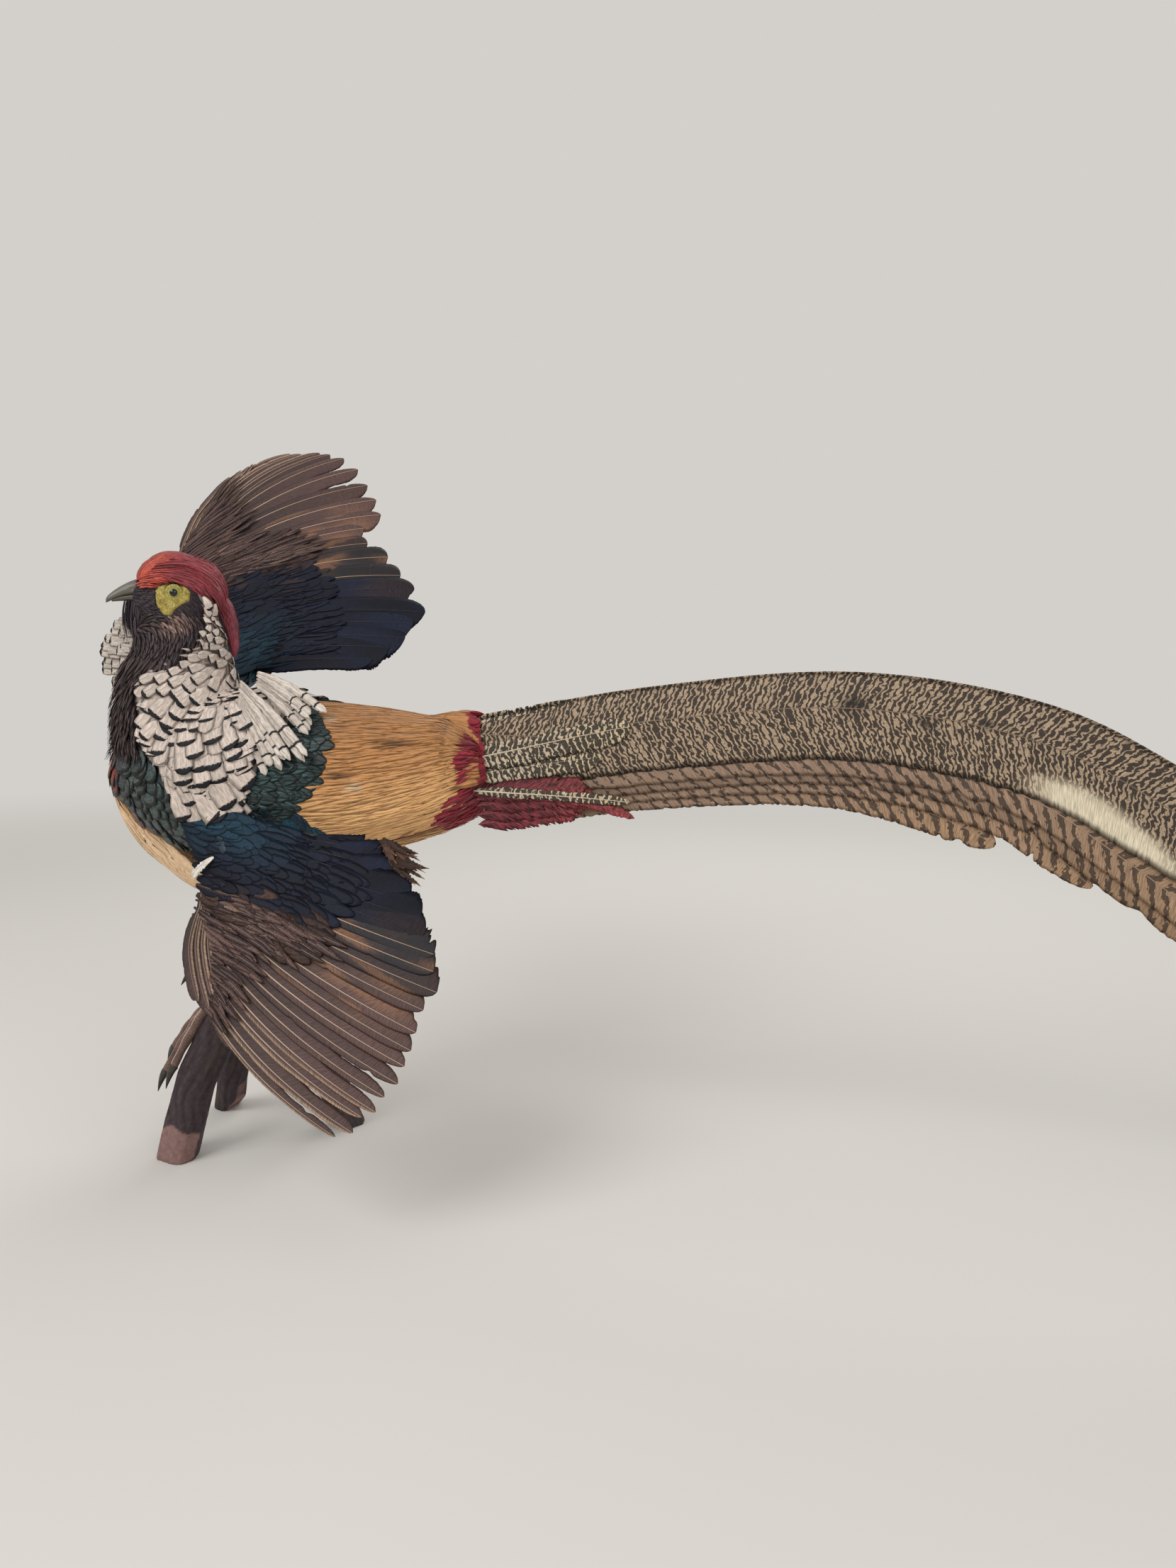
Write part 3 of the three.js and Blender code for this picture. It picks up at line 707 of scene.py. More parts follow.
# The bird's markings: the same colours for the skin and for the feathers that grow from it.
def plumageOf(points, region):
    reach, rise, _ = headPlace(points)
    colour = np.array([paint[name] for name in regionNames])[region]

    def blend(where, amount, name):
        amount = np.where(where, amount, 0.0)[:, None]
        colour[:] = colour * (1 - amount) + paint[name] * amount

    ear = np.exp(-(((reach + 1.5) / 9) ** 2 + ((rise + 27.5 + 0.2 * reach) / 4.5) ** 2))
    blend(np.isin(region, (2, 3)), 0.85 * ear, "ear")
    blend(region == 4, smooth(reach + 0.1 * rise, -6, 12), "forehead")
    blend(region == 4, smooth(-rise, -6, 30), "nape")
    blend(region == 2, 0.6 * smooth(reach, 0, 30), "brownNeck")
    height = (points - (110, 60, 262)) @ dorsal
    # The lower rump is yellower, and this paint is also made brighter to offset the shade of the light
    # from above: partly its own colour, partly painted light.
    blend(region == 1, 0.9 * smooth(-height, -18, 26), "rumpYellowAndLight")
    blend(region == 1, 0.4 * smooth(height, 15, 40), "rumpBrown")
    for place, size, name in rumpMarks:
        away = (points - place) / size
        blend(region == 1, np.exp(-dot(away, away)), name)
    blend(region == 0, smooth(-points[:, 0], -20, 60), "breast")
    blend(region == 0, smooth(pastBelly(points), -9, -1), "russet")
    blend(region == 7, 0.6 * smooth(-pastBelly(points), -5, 1), "russet")
    return colour


skinPlaces = cornersOf(skin)
skinRegion = regionsOf(skinPlaces)
skinColour = plumageOf(skinPlaces, skinRegion)
markCorners(skin, "plume", skinColour)
bare = smooth(insideFace(skinPlaces), -0.4, 1.2) * besideHead(skinPlaces)
markCorners(skin, "bare", bare)
# The bare skin stands a little proud of the skin around it, in small rounded warts.
warts = np.sin(skinPlaces @ (2.9, 1.3, 2.1)) * np.sin(skinPlaces @ (-1.2, 2.4, -2.9))
moveCorners(skin, skinPlaces + normalsOf(skin) * (bare * (0.9 + 0.22 * warts))[:, None])
skinTree = treeOf(skin)
print("skin marked")


# Skin under the coat is matt and dark, so that it reads as the down between the feathers. The
# bare cheek is mottled yellow, with painted shade in the creases between its warts: each wart
# is lighter in its middle and darker toward its edge.
def skinMaterial():
    material, surface, add = newMaterial("FeatheredSkin", {
        "Roughness": 0.8, "Specular IOR Level": 0.25})
    place = add("TexCoord").outputs["Object"]
    warts = add("TexVoronoi", {"feature": "SMOOTH_F1"}, {
        "Vector": place, "Scale": 900.0, "Smoothness": 0.4})
    blotch = add("TexNoise", {}, {"Vector": place, "Scale": 260.0, "Detail": 4.0})
    tone = add("ValToRGB", {"stops": {0.3: "#9c8040", 0.5: "#c4b05c", 0.7: "#d8ca82"}}, {0: blotch})
    # Painted shade: lighter in the middle of each wart, darker in the creases round it.
    creaseShade = add("MapRange", {}, {0: warts, 1: 0.0, 2: 0.7, 3: 1.1, 4: 0.62})
    face = add("HueSaturation", {}, {"Value": creaseShade, "Color": tone})
    plume = add("Attribute", {"attribute_name": "plume"})
    dim = add("HueSaturation", {}, {"Value": 0.7, "Color": plume.outputs["Color"]})
    bare = add("Attribute", {"attribute_name": "bare"})
    colour = add("Mix", inColour, {0: bare.outputs["Fac"], 6: dim, 7: face})
    bump = add("Bump", {"invert": True}, {"Strength": 0.5, "Distance": 0.0006, "Height": warts})
    wire(surface, {"Base Color": colour, "Normal": bump})
    return material


skin.data.materials.append(skinMaterial())
finish(skin, "dark_feathers", *fleshNodes)


# Where tufts grow: points on the skin, no closer than the spacing, in the regions named.
faceAreas = readAll(skin.data.polygons, "area", 1)[:, 0] / (mm * mm)
facePlaces = readAll(skin.data.polygons, "center") / mm
faceRegion = skinRegion[[face.vertices[0] for face in skin.data.polygons]]


def thin(points, spacing):  # which of the points stay when none may be closer than the spacing
    finder = kdtree.KDTree(len(points))
    for k, point in enumerate(points):
        finder.insert(point, k)
    finder.balance()
    free = np.ones(len(points), bool)
    kept = []
    for k, point in enumerate(points):
        if free[k]:
            kept.append(k)
            for _, other, _ in finder.find_range(point, spacing):
                free[other] = False
    return kept


def scatter(regions, spacing, where=None, rows=None):
    fits = np.isin(faceRegion, [regionNames.index(name) for name in regions])
    if where is not None:
        fits &= where(facePlaces)
    chances = np.where(fits, faceAreas, 0)
    tries = int(chances.sum() / spacing ** 2 * (9 if rows is None else 60))
    chosen = random.choice(len(chances), tries, p=chances / chances.sum())
    side = np.sqrt(faceAreas[chosen])[:, None]
    points = facePlaces[chosen] + random.uniform(-0.5, 0.5, (tries, 3)) * side
    if rows is not None:  # only the points near a whole row number
        points = points[np.abs((rows(points) + 0.5) % 1 - 0.5) < 0.09]
    kept = thin(points, spacing)
    return nearest(skinTree, points[kept])[0]


# Lays feathers down on the skin from their roots, following the lie of the coat. The lift
# goes from low at the root to high at the tip, in millimetres off the skin, or as shares of
# the way to the outside of a shell that stands over it.
def layDown(roots, lengths, stops, low, high, lie=None, stray=0.12, shell=None):
    points = roots.copy()
    lines, ups = [], []
    drift = random.normal(0, stray, (len(roots), 1))
    for k, stop in enumerate(stops):
        places, normals, _ = nearest(skinTree, points)
        run = (lie or lieOf)(places)
        run = run + np.cross(run, normals) * drift
        run = unit(run - normals * dot(run, normals)[..., None])
        lift = low + (high - low) * stop ** 0.8
        if shell is not None:
            for j, (place, normal) in enumerate(zip(places, normals)):
                gap = shell.ray_cast(place + normal * 30, -normal, 32)[3]
                lift[j] *= 30 - gap if gap is not None else 3
        lines.append(places + normals * lift[:, None])
        ups.append(normals)
        if k + 1 < len(stops):
            points = places + run * (lengths * (stops[k + 1] - stop))[:, None]
    lines, ups = np.stack(lines, 1), np.stack(ups, 1)
    for _ in range(2):  # evens out the facets of the skin below
        lines[:, 1:-1] = (lines[:, :-2] + 2 * lines[:, 1:-1] + lines[:, 2:]) / 4
        ups[:, 1:-1] = unit(ups[:, :-2] + ups[:, 1:-1] + ups[:, 2:])
    return lines, ups


# Each tuft's place on the skin's own unwrap: along the body, and round it.
def bakeRoots(roots):
    share, _, turn = bodyShare(roots)
    spots = np.stack([turn / (2 * math.pi), share], -1)
    low, high = spots.min(0), spots.max(0)
    return 0.01 + 0.98 * (spots - low) / np.maximum(high - low, 1e-6)


def rounded(u, start, along, power, least):  # full up to the start, then rounded off
    return np.clip(1 - np.clip((u - start) / along, 0, 1) ** power, least, 1)


def bothSides(half):  # the same width left and right of the shaft
    return half[:, :, None].repeat(2, -1)


outlines = {  # width along the vane, from the root to the tip
    "round": lambda u: np.minimum(0.35 + 1.3 * u, 1) * np.sqrt(rounded(u, 0.55, 0.46, 2, 0.002)),
    "hackle": lambda u: np.minimum(0.45 + 2.2 * u, 1) * np.clip(1.02 - u ** 1.7, 0.02, 1),
    "square": lambda u: np.minimum(0.4 + 1.2 * u, 1) * rounded(u, 0.86, 0.145, 5, 0.16),
}


def onBare(points):
    return (insideFace(points) > 0.3) & besideHead(points)


# The dark cheek and foreneck, and the crest, where no feather of the cape may lie.
def onDark(points):
    reach, rise, _ = headPlace(points)
    ahead = (reach > edgeAt(cheekEdge, rise) - 1) & (rise > cheekEdge[0, 0])
    above = (rise > edgeAt(crestEdge, reach) + 1) & (reach > -36)
    return ahead | (above & (lengthOf(points - headCentre) < regionEnds["head"]))


# The stretch of each feather that stays clear of where it may not lie.
def clearStretch(lines, stops, banned):
    inside = banned(lines.reshape(-1, 3)).reshape(lines.shape[:2])
    first = np.where(inside.any(1), inside.argmax(1), len(stops) - 1)
    return np.where(inside.any(1), stops[np.maximum(first - 1, 0)], 1.0)


def coat(name, look, regions, slot, *nodes, where=None):
    roots = scatter(regions, look["spacing"], where, look.get("rows"))
    count = len(roots)
    stops = np.array(look.get("stops", (0, 0.3, 0.55, 0.75, 0.9, 1)))
    lengths = look["length"] * (1 + look.get("uneven", 0.15) * random.uniform(-1, 1, count))
    wide = look["width"] / 2 * random.uniform(0.85, 1.12, count)
    if "grows" in look:
        lengths = lengths * look["grows"](roots)
        wide = wide * np.clip(look["grows"](roots), 0.35, 1.2)
    high = look["high"] * random.uniform(0.8, 1.2, count)
    laid = (look.get("lie"), look.get("stray", 0.12), look.get("shell"))
    lines, ups = layDown(roots, lengths, stops, look["low"], high, *laid)
    clear = clearStretch(lines, stops, look.get("banned", onBare))
    if np.any(clear < 1):
        keep = clear > 0.2
        roots, wide, high = roots[keep], wide[keep], high[keep]
        lengths = (lengths * clear)[keep]
        count = len(roots)
        lines, ups = layDown(roots, lengths, stops, look["low"], high, *laid)
    halves = bothSides(wide[:, None] * outlines[look["outline"]](stops))
    columns = broadVane if look.get("broad") else slimVane
    part = vaneRings(
        lines, ups, halves, stops, columns, look.get("thick", 0.3), look.get("arch", 0.2))
    region = regionsOf(roots)
    codes = [regionNames.index(each) for each in regions]
    region = np.where(np.isin(region, codes), region, codes[0])
    colours = (look["colour"] if "colour" in look else plumageOf)(lines[:, -2], region)
    if look.get("marked"):  # each ring of a feather takes the colour of its own place
        colours = np.stack([plumageOf(lines[:, k], region) for k in range(len(stops))], 1)
    tint = look["tint"](lines[:, -1]) if "tint" in look else random.uniform(0, 1, count)
    dress(part, colours, tint, bakeRoots(roots))
    piece = ringMesh(name, [part], [plumeMaterial(name + "Plume", look)])
    finish(piece, slot, *nodes)
    return piece


# The coats of the body, from the smallest feathers of the face to the long cape.
# Silky feathers have a soft sheen, plain ones are matt, and glossy ones take small highlights.
silk = {"Roughness": 0.5, "Specular IOR Level": 0.4, "Sheen Weight": 0.12, "Sheen Roughness": 0.4}
plain = {"Roughness": 0.65, "Specular IOR Level": 0.3}
glossy = {"Roughness": 0.42, "Specular IOR Level": 0.4}
mantleLook = {
    "spacing": 5.0, "length": 17, "width": 13, "outline": "round", "broad": True, "low": 0.5,
    "high": 2.5, "shader": glossy, "varies": 0.4, "barbs": (5, 9, 1), "streak": 0.65, "bump": 0.5,
    "arch": 0.06, "thick": 0.2, "edge": "#0b0d0d", "edgeStart": 0.5, "edgeSides": 0.8,
    "edgeBand": (0.66, 0.86, 1)}
coat("mantle", mantleLook, ["mantle"], "mantle_feathers", where=lambda points: points[:, 0] < 32)
# The back's strong streaks along the barbs are partly barb texture and partly painted sheen, the glints
# on its dark green feathers.
backLook = dict(
    mantleLook, spacing=3.4, length=18, width=8.5, high=1.2, streak=0.8, varies=0.5,
    barbs=(7, 1.4, 1), uneven=0.05, arch=0.0, stops=(0, 0.3, 0.55, 0.75, 0.88, 0.96, 1),
    edgeBand=(0.8, 1, 0.8))
coat("back", backLook, ["mantle"], "mantle_feathers", where=lambda points: points[:, 0] > 28)


def rumpLength(roots):
    return np.clip((178 - roots[:, 0]) / 24, 0.35, 1)


rumpLook = {
    "spacing": 2.7, "length": 29, "width": 4.6, "outline": "hackle", "low": 0.5, "high": 1.0,
    "arch": 0.02, "shader": silk, "varies": 0.06, "barbs": (9, 1.6, 1), "streak": 0.16, "bump": 0.3,
    "stray": 0.06, "thick": 0.1, "stops": (0, 0.16, 0.32, 0.5, 0.7, 0.86, 1), "grows": rumpLength,
    "marked": True, "root": "#94683a", "rootEnd": 0.4}
coat("rump", rumpLook, ["rump"], "rump_feathers")

hemLook = {
    "spacing": 3.0, "length": 18, "width": 5, "outline": "hackle", "low": 0.2, "high": 2.4,
    "arch": 0.12, "shader": silk, "varies": 0.3, "barbs": (8, 3, 1), "streak": 0.4, "bump": 0.5,
    "stray": 0.14}
coat("tail_hem", hemLook, ["hem"], "covert_feathers")

bellyLook = {
    "spacing": 3.2, "length": 24, "width": 5.5, "outline": "hackle", "low": 0.3, "high": 1.8,
    "arch": 0.06, "shader": plain, "varies": 0.1, "barbs": (8, 2, 1), "streak": 0.2, "bump": 0.4,
    "stray": 0.12, "thick": 0.2}
coat("belly", bellyLook, ["belly"], "thigh_feathers")

thighAxis = {side: unit(np.array(hock, float) - np.array(knee, float)) for side, knee, hock in (
    ("left", (26, 46, 196), (58, 32, 152)), ("right", (34, 92, 200), (66, 84, 160)))}


def lieOfThigh(points):
    left = lengthOf(points - (42, 39, 174)) < lengthOf(points - (50, 88, 180))
    return np.where(left[:, None], thighAxis["left"], thighAxis["right"])


thighLook = dict(bellyLook, spacing=3.2, length=15, width=5.5, lie=lieOfThigh, high=2.6, varies=0.2)
coat("thighs", thighLook, ["thigh"], "thigh_feathers")

neckLook = {
    "spacing": 2.4, "length": 13, "width": 4, "outline": "hackle", "low": 1.5, "high": 5.0,
    "arch": 0.08, "shader": plain, "varies": 0.4, "barbs": (9, 3, 1), "streak": 0.45, "bump": 0.5,
    "stray": 0.16, "thick": 0.2, "edge": "#141013", "edgeStart": 0.4, "edgeSides": 0.8,
    "edgeBand": (0.6, 1.0, 0.7)}
coat("foreneck", neckLook, ["foreneck"], "dark_feathers",
     where=lambda points: headPlace(points)[1] < -46)
throatLook = dict(neckLook, low=0.4, high=1.8, length=11)
coat("throat", throatLook, ["foreneck"], "dark_feathers",
     where=lambda points: headPlace(points)[1] >= -46)

faceLook = {
    "spacing": 1.3, "length": 5.2, "width": 1.6, "outline": "hackle", "low": 0.1, "high": 0.8,
    "thick": 0.14, "shader": plain, "varies": 0.35, "barbs": (14, 5, 1), "streak": 0.35,
    "bump": 0.3, "stops": (0, 0.3, 0.65, 1), "stray": 0.15}
coat("face", faceLook, ["face"], "dark_feathers")


def crestLength(roots):
    return 0.5 + 0.5 * smooth(-headPlace(roots)[0], -18, 4)


def underCrest(points):  # the bare skin and the white area behind the cheek stay clear
    reach, rise, _ = headPlace(points)
    return (insideFace(points) > -1.2) | (reach < -8) & (rise < edgeAt(crestEdge, reach) + 0.3)


crestLook = {
    "spacing": 1.7, "length": 46, "width": 3.3, "outline": "hackle", "low": 0.52, "high": 0.88,
    "thick": 0.12, "arch": 0.05, "shader": silk, "varies": 0.25, "barbs": (14, 3, 1), "streak": 0.4,
    "bump": 0.4, "grows": crestLength, "shell": trees["crest"], "stray": 0.06,
    "stops": (0, 0.12, 0.3, 0.5, 0.7, 0.86, 1)}
coat("crest", dict(crestLook, banned=underCrest), ["crest"], "crest_feathers", "crest")

# The cape's feathers fan out from the nape, small beside the cheek and long over the back.
napeEnd = headPoint(-37, -47)


def lieOfCape(points):
    low = smooth(-headPlace(points)[1], 14, 46)[:, None]
    return unit((0.1 + 0.9 * low) * unit(points - napeEnd) + (1 - 0.75 * low) * lieOf(points))


cheekRises = np.linspace(-115, 4, 160)
cheekLine = np.stack([edgeAt(cheekEdge, cheekRises), cheekRises], -1)


def capeSize(roots):  # small beside the dark cheek and foreneck
    spots = np.stack(headPlace(roots)[:2], -1)
    gap = lengthOf(spots[:, None] - cheekLine[None]).min(1)
    fromNape = np.clip(0.5 + lengthOf(roots - napeEnd) / 110, 0.5, 1.25)
    return fromNape * np.clip(0.36 + gap / 42, 0.38, 1)


def capeRows(points):  # rows round the nape, 4.9 mm apart there and wider below
    return 38 * np.log(1 + lengthOf(points - napeEnd) / 185)


# Barred feathers keep together, with plain silky patches between them.
def capeTint(points):
    patches = np.sin(points[:, 0] / 9.5 + 1.2) * np.sin(points[:, 2] / 11.0 + points[:, 0] / 17)
    return 0.62 + 0.5 * patches + random.normal(0, 0.12, len(points))


def offCape(points):
    past = points[:, 0] > np.interp(points[:, 2], (250, 262, 275, 300), (52, 57, 62, 75))
    return onDark(points) | onBare(points) | past


capeLook = {
    "spacing": 5.2, "length": 20, "width": 12.5, "uneven": 0.04, "outline": "square", "broad": True,
    "low": 0.8, "high": 1.0, "shader": plain, "varies": 0.12, "barbs": (8, 2, 1), "streak": 0.22,
    "bump": 0.5, "shell": trees["cape"], "edge": "#17161b", "edgeStart": 0.5, "edgeSides": 0.14,
    "edgeBand": (0.77, 0.82, 1), "edgeFew": 0.24, "stray": 0.1, "arch": 0.04, "thick": 0.15,
    "lie": lieOfCape, "grows": capeSize, "rows": capeRows, "banned": offCape, "tint": capeTint,
    "stops": (0, 0.25, 0.5, 0.72, 0.9, 0.97, 1)}
coat("cape", capeLook, ["cape"], "cape_feathers", "cape")
downLook = dict(
    capeLook, spacing=3.8, length=19, width=7, outline="hackle", broad=False, low=0.3, high=0.8,
    stray=0.2, edge=None, stops=(0, 0.3, 0.55, 0.8, 1))
for key in ("rows", "tint"):
    del downLook[key]
coat("cape_down", downLook, ["cape"], "cape_feathers")


# Feathers set one by one: each along its own line, with its own way up and width.
barEnds = [0.667, 0.673, 0.691, 0.697, 0.843, 0.849, 0.867, 0.873]  # extra rings where the bars lie
looseStops = np.sort(np.concatenate([np.linspace(0, 1, 21), barEnds]))


def loose(name, look, lines, ups, widths, colour, slot):
    stops, count = looseStops, len(lines)
    half = np.asarray(widths, float)[:, None] / 2 * outlines[look["outline"]](stops)
    halves = bothSides(half * frayed(count, stops, look["fray"], look["splits"]))
    part = vaneRings(lines, np.broadcast_to(unit(ups), lines.shape), halves, stops,
                     flightVane(look.get("columns", 7)), look["thick"], look["arch"], 0.5)
    tipFrom = look.get("tipFrom", 0.86)
    atTip = smooth(stops, tipFrom, tipFrom + 0.04)
    colours = mixed(shade(colour), shade(look.get("tipColour", colour)), atTip)
    if "paint" in look:
        colours = look["paint"](lines)
    for place in look.get("bars", ()):  # thin dark bars across every feather
        colours = mixed(colours, shade(look["barColour"]), np.abs(stops - place) < 0.012)
    colours = np.broadcast_to(colours, lines.shape)
    dress(part, colours, random.uniform(0, 1, count), bakeRoots(lines[:, 0]))
    finish(ringMesh(name, [part], [plumeMaterial(name + "Plume", look)]), slot)


def bowed(starts, ends, ups, bend):  # lines from starts to ends, raised by a share of their length
    starts, ends = np.asarray(starts, float), np.asarray(ends, float)
    lengths = lengthOf(ends - starts)[:, None, None]
    swell = np.sin(looseStops * math.pi)[:, None]
    straight = starts[:, None] + (ends - starts)[:, None] * looseStops[:, None]
    return straight + ups * bend * lengths * swell


# Uneven, split edges: the vane's width along each feather, with notches that run in along
# the barbs.
def frayed(count, stops, depth, splits):
    share = 1 - depth * random.uniform(0, 1, (count, len(stops))) ** 2
    for k in range(count):
        for _ in range(random.poisson(splits)):
            at = random.uniform(0.35, 0.99)
            wide = random.uniform(0.006, 0.014)
            share[k] *= 1 - random.uniform(0.15, 0.5) * np.exp(-((stops - at) / wide) ** 2)
    return share


# Cape feathers of the far side, flared out past the throat.
flareFrom = [(24, -20), (22, -30), (22, -42), (24, -54), (26, -64)]  # reach and rise of the roots
flareTo = [(37, -20), (45, -28), (50, -39), (48, -51), (41, -64)]  # and of the outermost tips
flareStarts, flareEnds = [], []
for row in range(4):
    for t in (np.arange(10) + 0.5 * (row % 2) + random.normal(0, 0.2, 10)) / 10:
        start, end = curveAt(flareFrom, t), curveAt(flareTo, t) + random.normal(0, 0.7, 2)
        end = end - unit(end - start) * (6 * row + random.uniform(-1.2, 1.2))
        flareStarts.append(headPoint(*start, -15 + 2 * row))
        flareEnds.append(headPoint(*end, -17 + 2.4 * row))
flareUp = unit(leftward + 0.2 * upward)
flareLook = dict(
    capeLook, fray=0.1, splits=1.5, edgeFew=0.3, arch=0.02, edgeBand=(0.86, 0.91, 1))
loose("cape_flare", flareLook, bowed(flareStarts, flareEnds, flareUp, 0.05), flareUp,
      random.uniform(6.5, 8.5, len(flareStarts)), "#cbbfb4", "cape_feathers")

# Two groups of long plain plumes lie over the rest, behind the neck.
plumeGroups = [  # the first and last root and end of each group, and how many feathers it has
    ((30, 45, 311), (36, 33, 297), (91, 22, 264), (66, 15, 256), 11),
    ((40, 50, 317), (44, 42, 308), (92, 42, 292), (84, 30, 278), 8)]
plumeLook = dict(
    capeLook, edge=None, streak=0.25, fray=0.15, splits=3, tipColour="#d2c8bd", bars=(0.682, 0.858),
    barColour="#2f2a2d")
plumeSpots = np.concatenate([np.linspace(a, b, count) for a, b, _, _, count in plumeGroups])
plumeEnds = np.concatenate([np.linspace(c, d, count) for _, _, c, d, count in plumeGroups])
plumeEnds += random.normal(0, 2.5, plumeEnds.shape) * (1, 0.3, 1)
plumeUp = unit(np.array([0.35, -0.72, 0.6]))
plumeLift = random.uniform(2, 6.5, (len(plumeSpots), 1)) * plumeUp
plumeLines = bowed(plumeSpots + plumeLift, plumeEnds + plumeLift, plumeUp, 0.1)
loose("cape_plumes", plumeLook, plumeLines, plumeUp, random.uniform(4.6, 6.4, len(plumeSpots)),
      "#c9bdb2", "cape_feathers")
whiteLine = bowed([(39, -3, 204.5)], [(26, -8, 192)], plumeUp, 0.1)
loose("white_feather", dict(plumeLook, bars=()), whiteLine, plumeUp, [6], "#d9d2c8", "cape_feathers")

# Brown feathers stand loose where the rump meets the near wing.
cornerCount = 26
cornerSpread = random.uniform(0, 1, (cornerCount, 3))
cornerRoots = (148, 9, 219) + cornerSpread[:, :1] * (15, -9, -15) + cornerSpread[:, 1:2] * (0, 6, 0)
cornerRuns = np.array((0.93, -0.2, -0.3)) + random.normal(0, 0.2, (cornerCount, 3))
cornerUp = np.array([0.1, -0.95, 0.3])
cornerLook = dict(
    plumeLook, fray=0.6, splits=12, varies=0.45, outline="hackle", tipColour="#7d5c44", bars=())
cornerEnds = cornerRoots + cornerRuns * random.uniform(15, 27, (cornerCount, 1))
loose("corner_feathers", cornerLook, bowed(cornerRoots, cornerEnds, cornerUp, 0.04), cornerUp,
      random.uniform(5, 8, cornerCount), "#4a3428", "thigh_feathers")

# The soft cream feathers of the breast's keel stand out below the dark coat.
keelOuter = [(-83, 50, 257), (-75, 50, 238), (-66, 50, 214), (-52, 50, 197), (-33, 50, 184),
             (-14, 50, 173), (6, 50, 168)]
keelInner = [(-70, 50, 260), (-60, 50, 243), (-50, 50, 228), (-36, 50, 217), (-22, 50, 206),
             (-6, 50, 194), (12, 50, 186)]
keelCount = 270
keelAt = random.uniform(0.08, 0.8, keelCount)[:, None] + 0.2 * looseStops
keelDeep = (0.95 * random.uniform(0, 1, keelCount) ** 0.6)[:, None] + 0.05 * looseStops
keelTurn = random.choice([-1.0, 1.0], keelCount)[:, None]
keelSide = keelTurn * 17 * np.sqrt(1.01 - keelDeep ** 2)
keelLines = (curveAt(keelInner, keelAt) * (1 - keelDeep[..., None])
             + curveAt(keelOuter, keelAt) * keelDeep[..., None] + keelSide[..., None] * (0, 1, 0))
keelUps = np.stack([-0.75 * keelDeep, keelTurn * np.sqrt(1.1 - keelDeep ** 2), -0.6 * keelDeep], -1)
keelLook = dict(
    bellyLook, fray=0.15, splits=1, streak=0.15, outline="round", columns=5, tipColour="#ecd2ae")
loose("breast_keel", keelLook, keelLines, keelUps, random.uniform(5, 8, keelCount), "#e4c29c",
      "thigh_feathers")

# The crest ends in a full lobe behind the head: feathers all round it, between its outer and
# inner outlines (reach and rise).
def paintCrest(lines):
    points = lines.reshape(-1, 3)
    return plumageOf(points, np.full(len(points), regionNames.index("crest"))).reshape(lines.shape)


def fullPart(name, outer, inner, count, turns, share, sideOf, away):
    turn = np.radians(random.uniform(*turns, count))[:, None]
    at = random.uniform(0, 1 - share, count)[:, None] + share * looseStops
    deep = (0.5 + 0.5 * np.cos(turn))[..., None]
    spots = curveAt(inner, at) * (1 - deep) + curveAt(outer, at) * deep
    lines = headPoint(spots[..., 0], spots[..., 1], sideOf(at) * np.sin(turn))
    ups = (away * np.cos(turn) + leftward * np.sin(turn))[:, None]
    look = dict(crestLook, fray=0.05, splits=0.5, columns=5, paint=paintCrest)
    loose(name, look, lines, ups, random.uniform(3.6, 5.6, count), "#93404f", "crest_feathers")


lobeOuter = [(-19, 14), (-28, 6), (-33.5, -3.7), (-38, -11.9), (-40, -22.1), (-40.4, -35.1),
             (-38.4, -46)]
lobeInner = [(-14, 6.5), (-19.5, 1), (-23.5, -5.5), (-26.5, -12), (-30, -21), (-33.3, -35), (-36, -47)]
fullPart("crest_lobe", lobeOuter, lobeInner, 90, (-20, 200), 0.38, lambda at: 7.5 - 3.8 * at, -turned)
crownOuter = [(21.5, 4), (22.6, 10), (20, 16.5), (16, 20.2), (11.5, 23.6), (5.5, 25.8), (-2.3, 26),
              (-9.2, 24.4), (-17.9, 20.4), (-24.8, 14)]
crownInner = [(17, 1), (15, 5), (12, 8), (9, 10.5), (5, 12), (1, 13), (-4, 13), (-9, 12),
              (-14, 9.5), (-19, 6)]
fullPart("crest_crown", crownOuter, crownInner, 320, (-135, 135), 0.4,
         lambda at: 6.4 + 3 * np.sin(at * 2.6), unit(upward + 0.4 * turned))

# The dark feathers under the bill stand out as a soft chin.
chinCount = 210
chinDepth = random.uniform(0, 1, chinCount)[:, None]
chinAt = 0.55 * random.uniform(0, 1, chinCount)[:, None] ** 1.5 + 0.45 * looseStops
chinSwell = 3 * np.sin(chinAt * 2.6) - 2 * chinAt ** 2
chinReach = 20 + 11.6 * chinDepth + chinSwell * (0.3 + 0.7 * chinDepth)
chinRise = -4.2 - 31 * chinAt
chinTurn = random.uniform(-1, 1, chinCount)[:, None]
chinSide = chinTurn * 6.5 * np.sqrt(1.02 - chinDepth ** 2) * (0.7 + 0.6 * chinAt)
chinLines = headPoint(chinReach, chinRise, chinSide)
chinUps = (turned * (0.3 + chinDepth) + leftward * np.sign(chinTurn) * (1.1 - chinDepth))[:, None]
chinLook = dict(faceLook, fray=0.1, splits=1, columns=5, thick=0.15, arch=0.1)
loose("chin_feathers", chinLook, chinLines, chinUps, random.uniform(1.7, 2.7, chinCount), "#453b41",
      "dark_feathers")


# The wings. Flight feathers are made one by one; the coverts lie over and under the arm.
flightStops = np.concatenate([np.linspace(0, 0.78, 38), np.linspace(0.795, 1, 24)])


def strips(part, count, wide=0.94):  # one strip of the bake map for each feather
    across = (np.arange(count)[:, None, None] + wide * part["Vane"][..., 0] + 0.03) / count
    along = 0.01 + 0.98 * np.broadcast_to(part["Vane"][..., 1], across.shape)
    part["OFBake"] = np.stack([across, along], -1)
    return part


# A shaft is smooth quill: it shines a little more than the vane it carries.
shaftLook = {
    "shader": {"Roughness": 0.4}, "varies": 0.15, "barbs": (0.1, 2, 1), "streak": 0.12, "bump": 0.1}


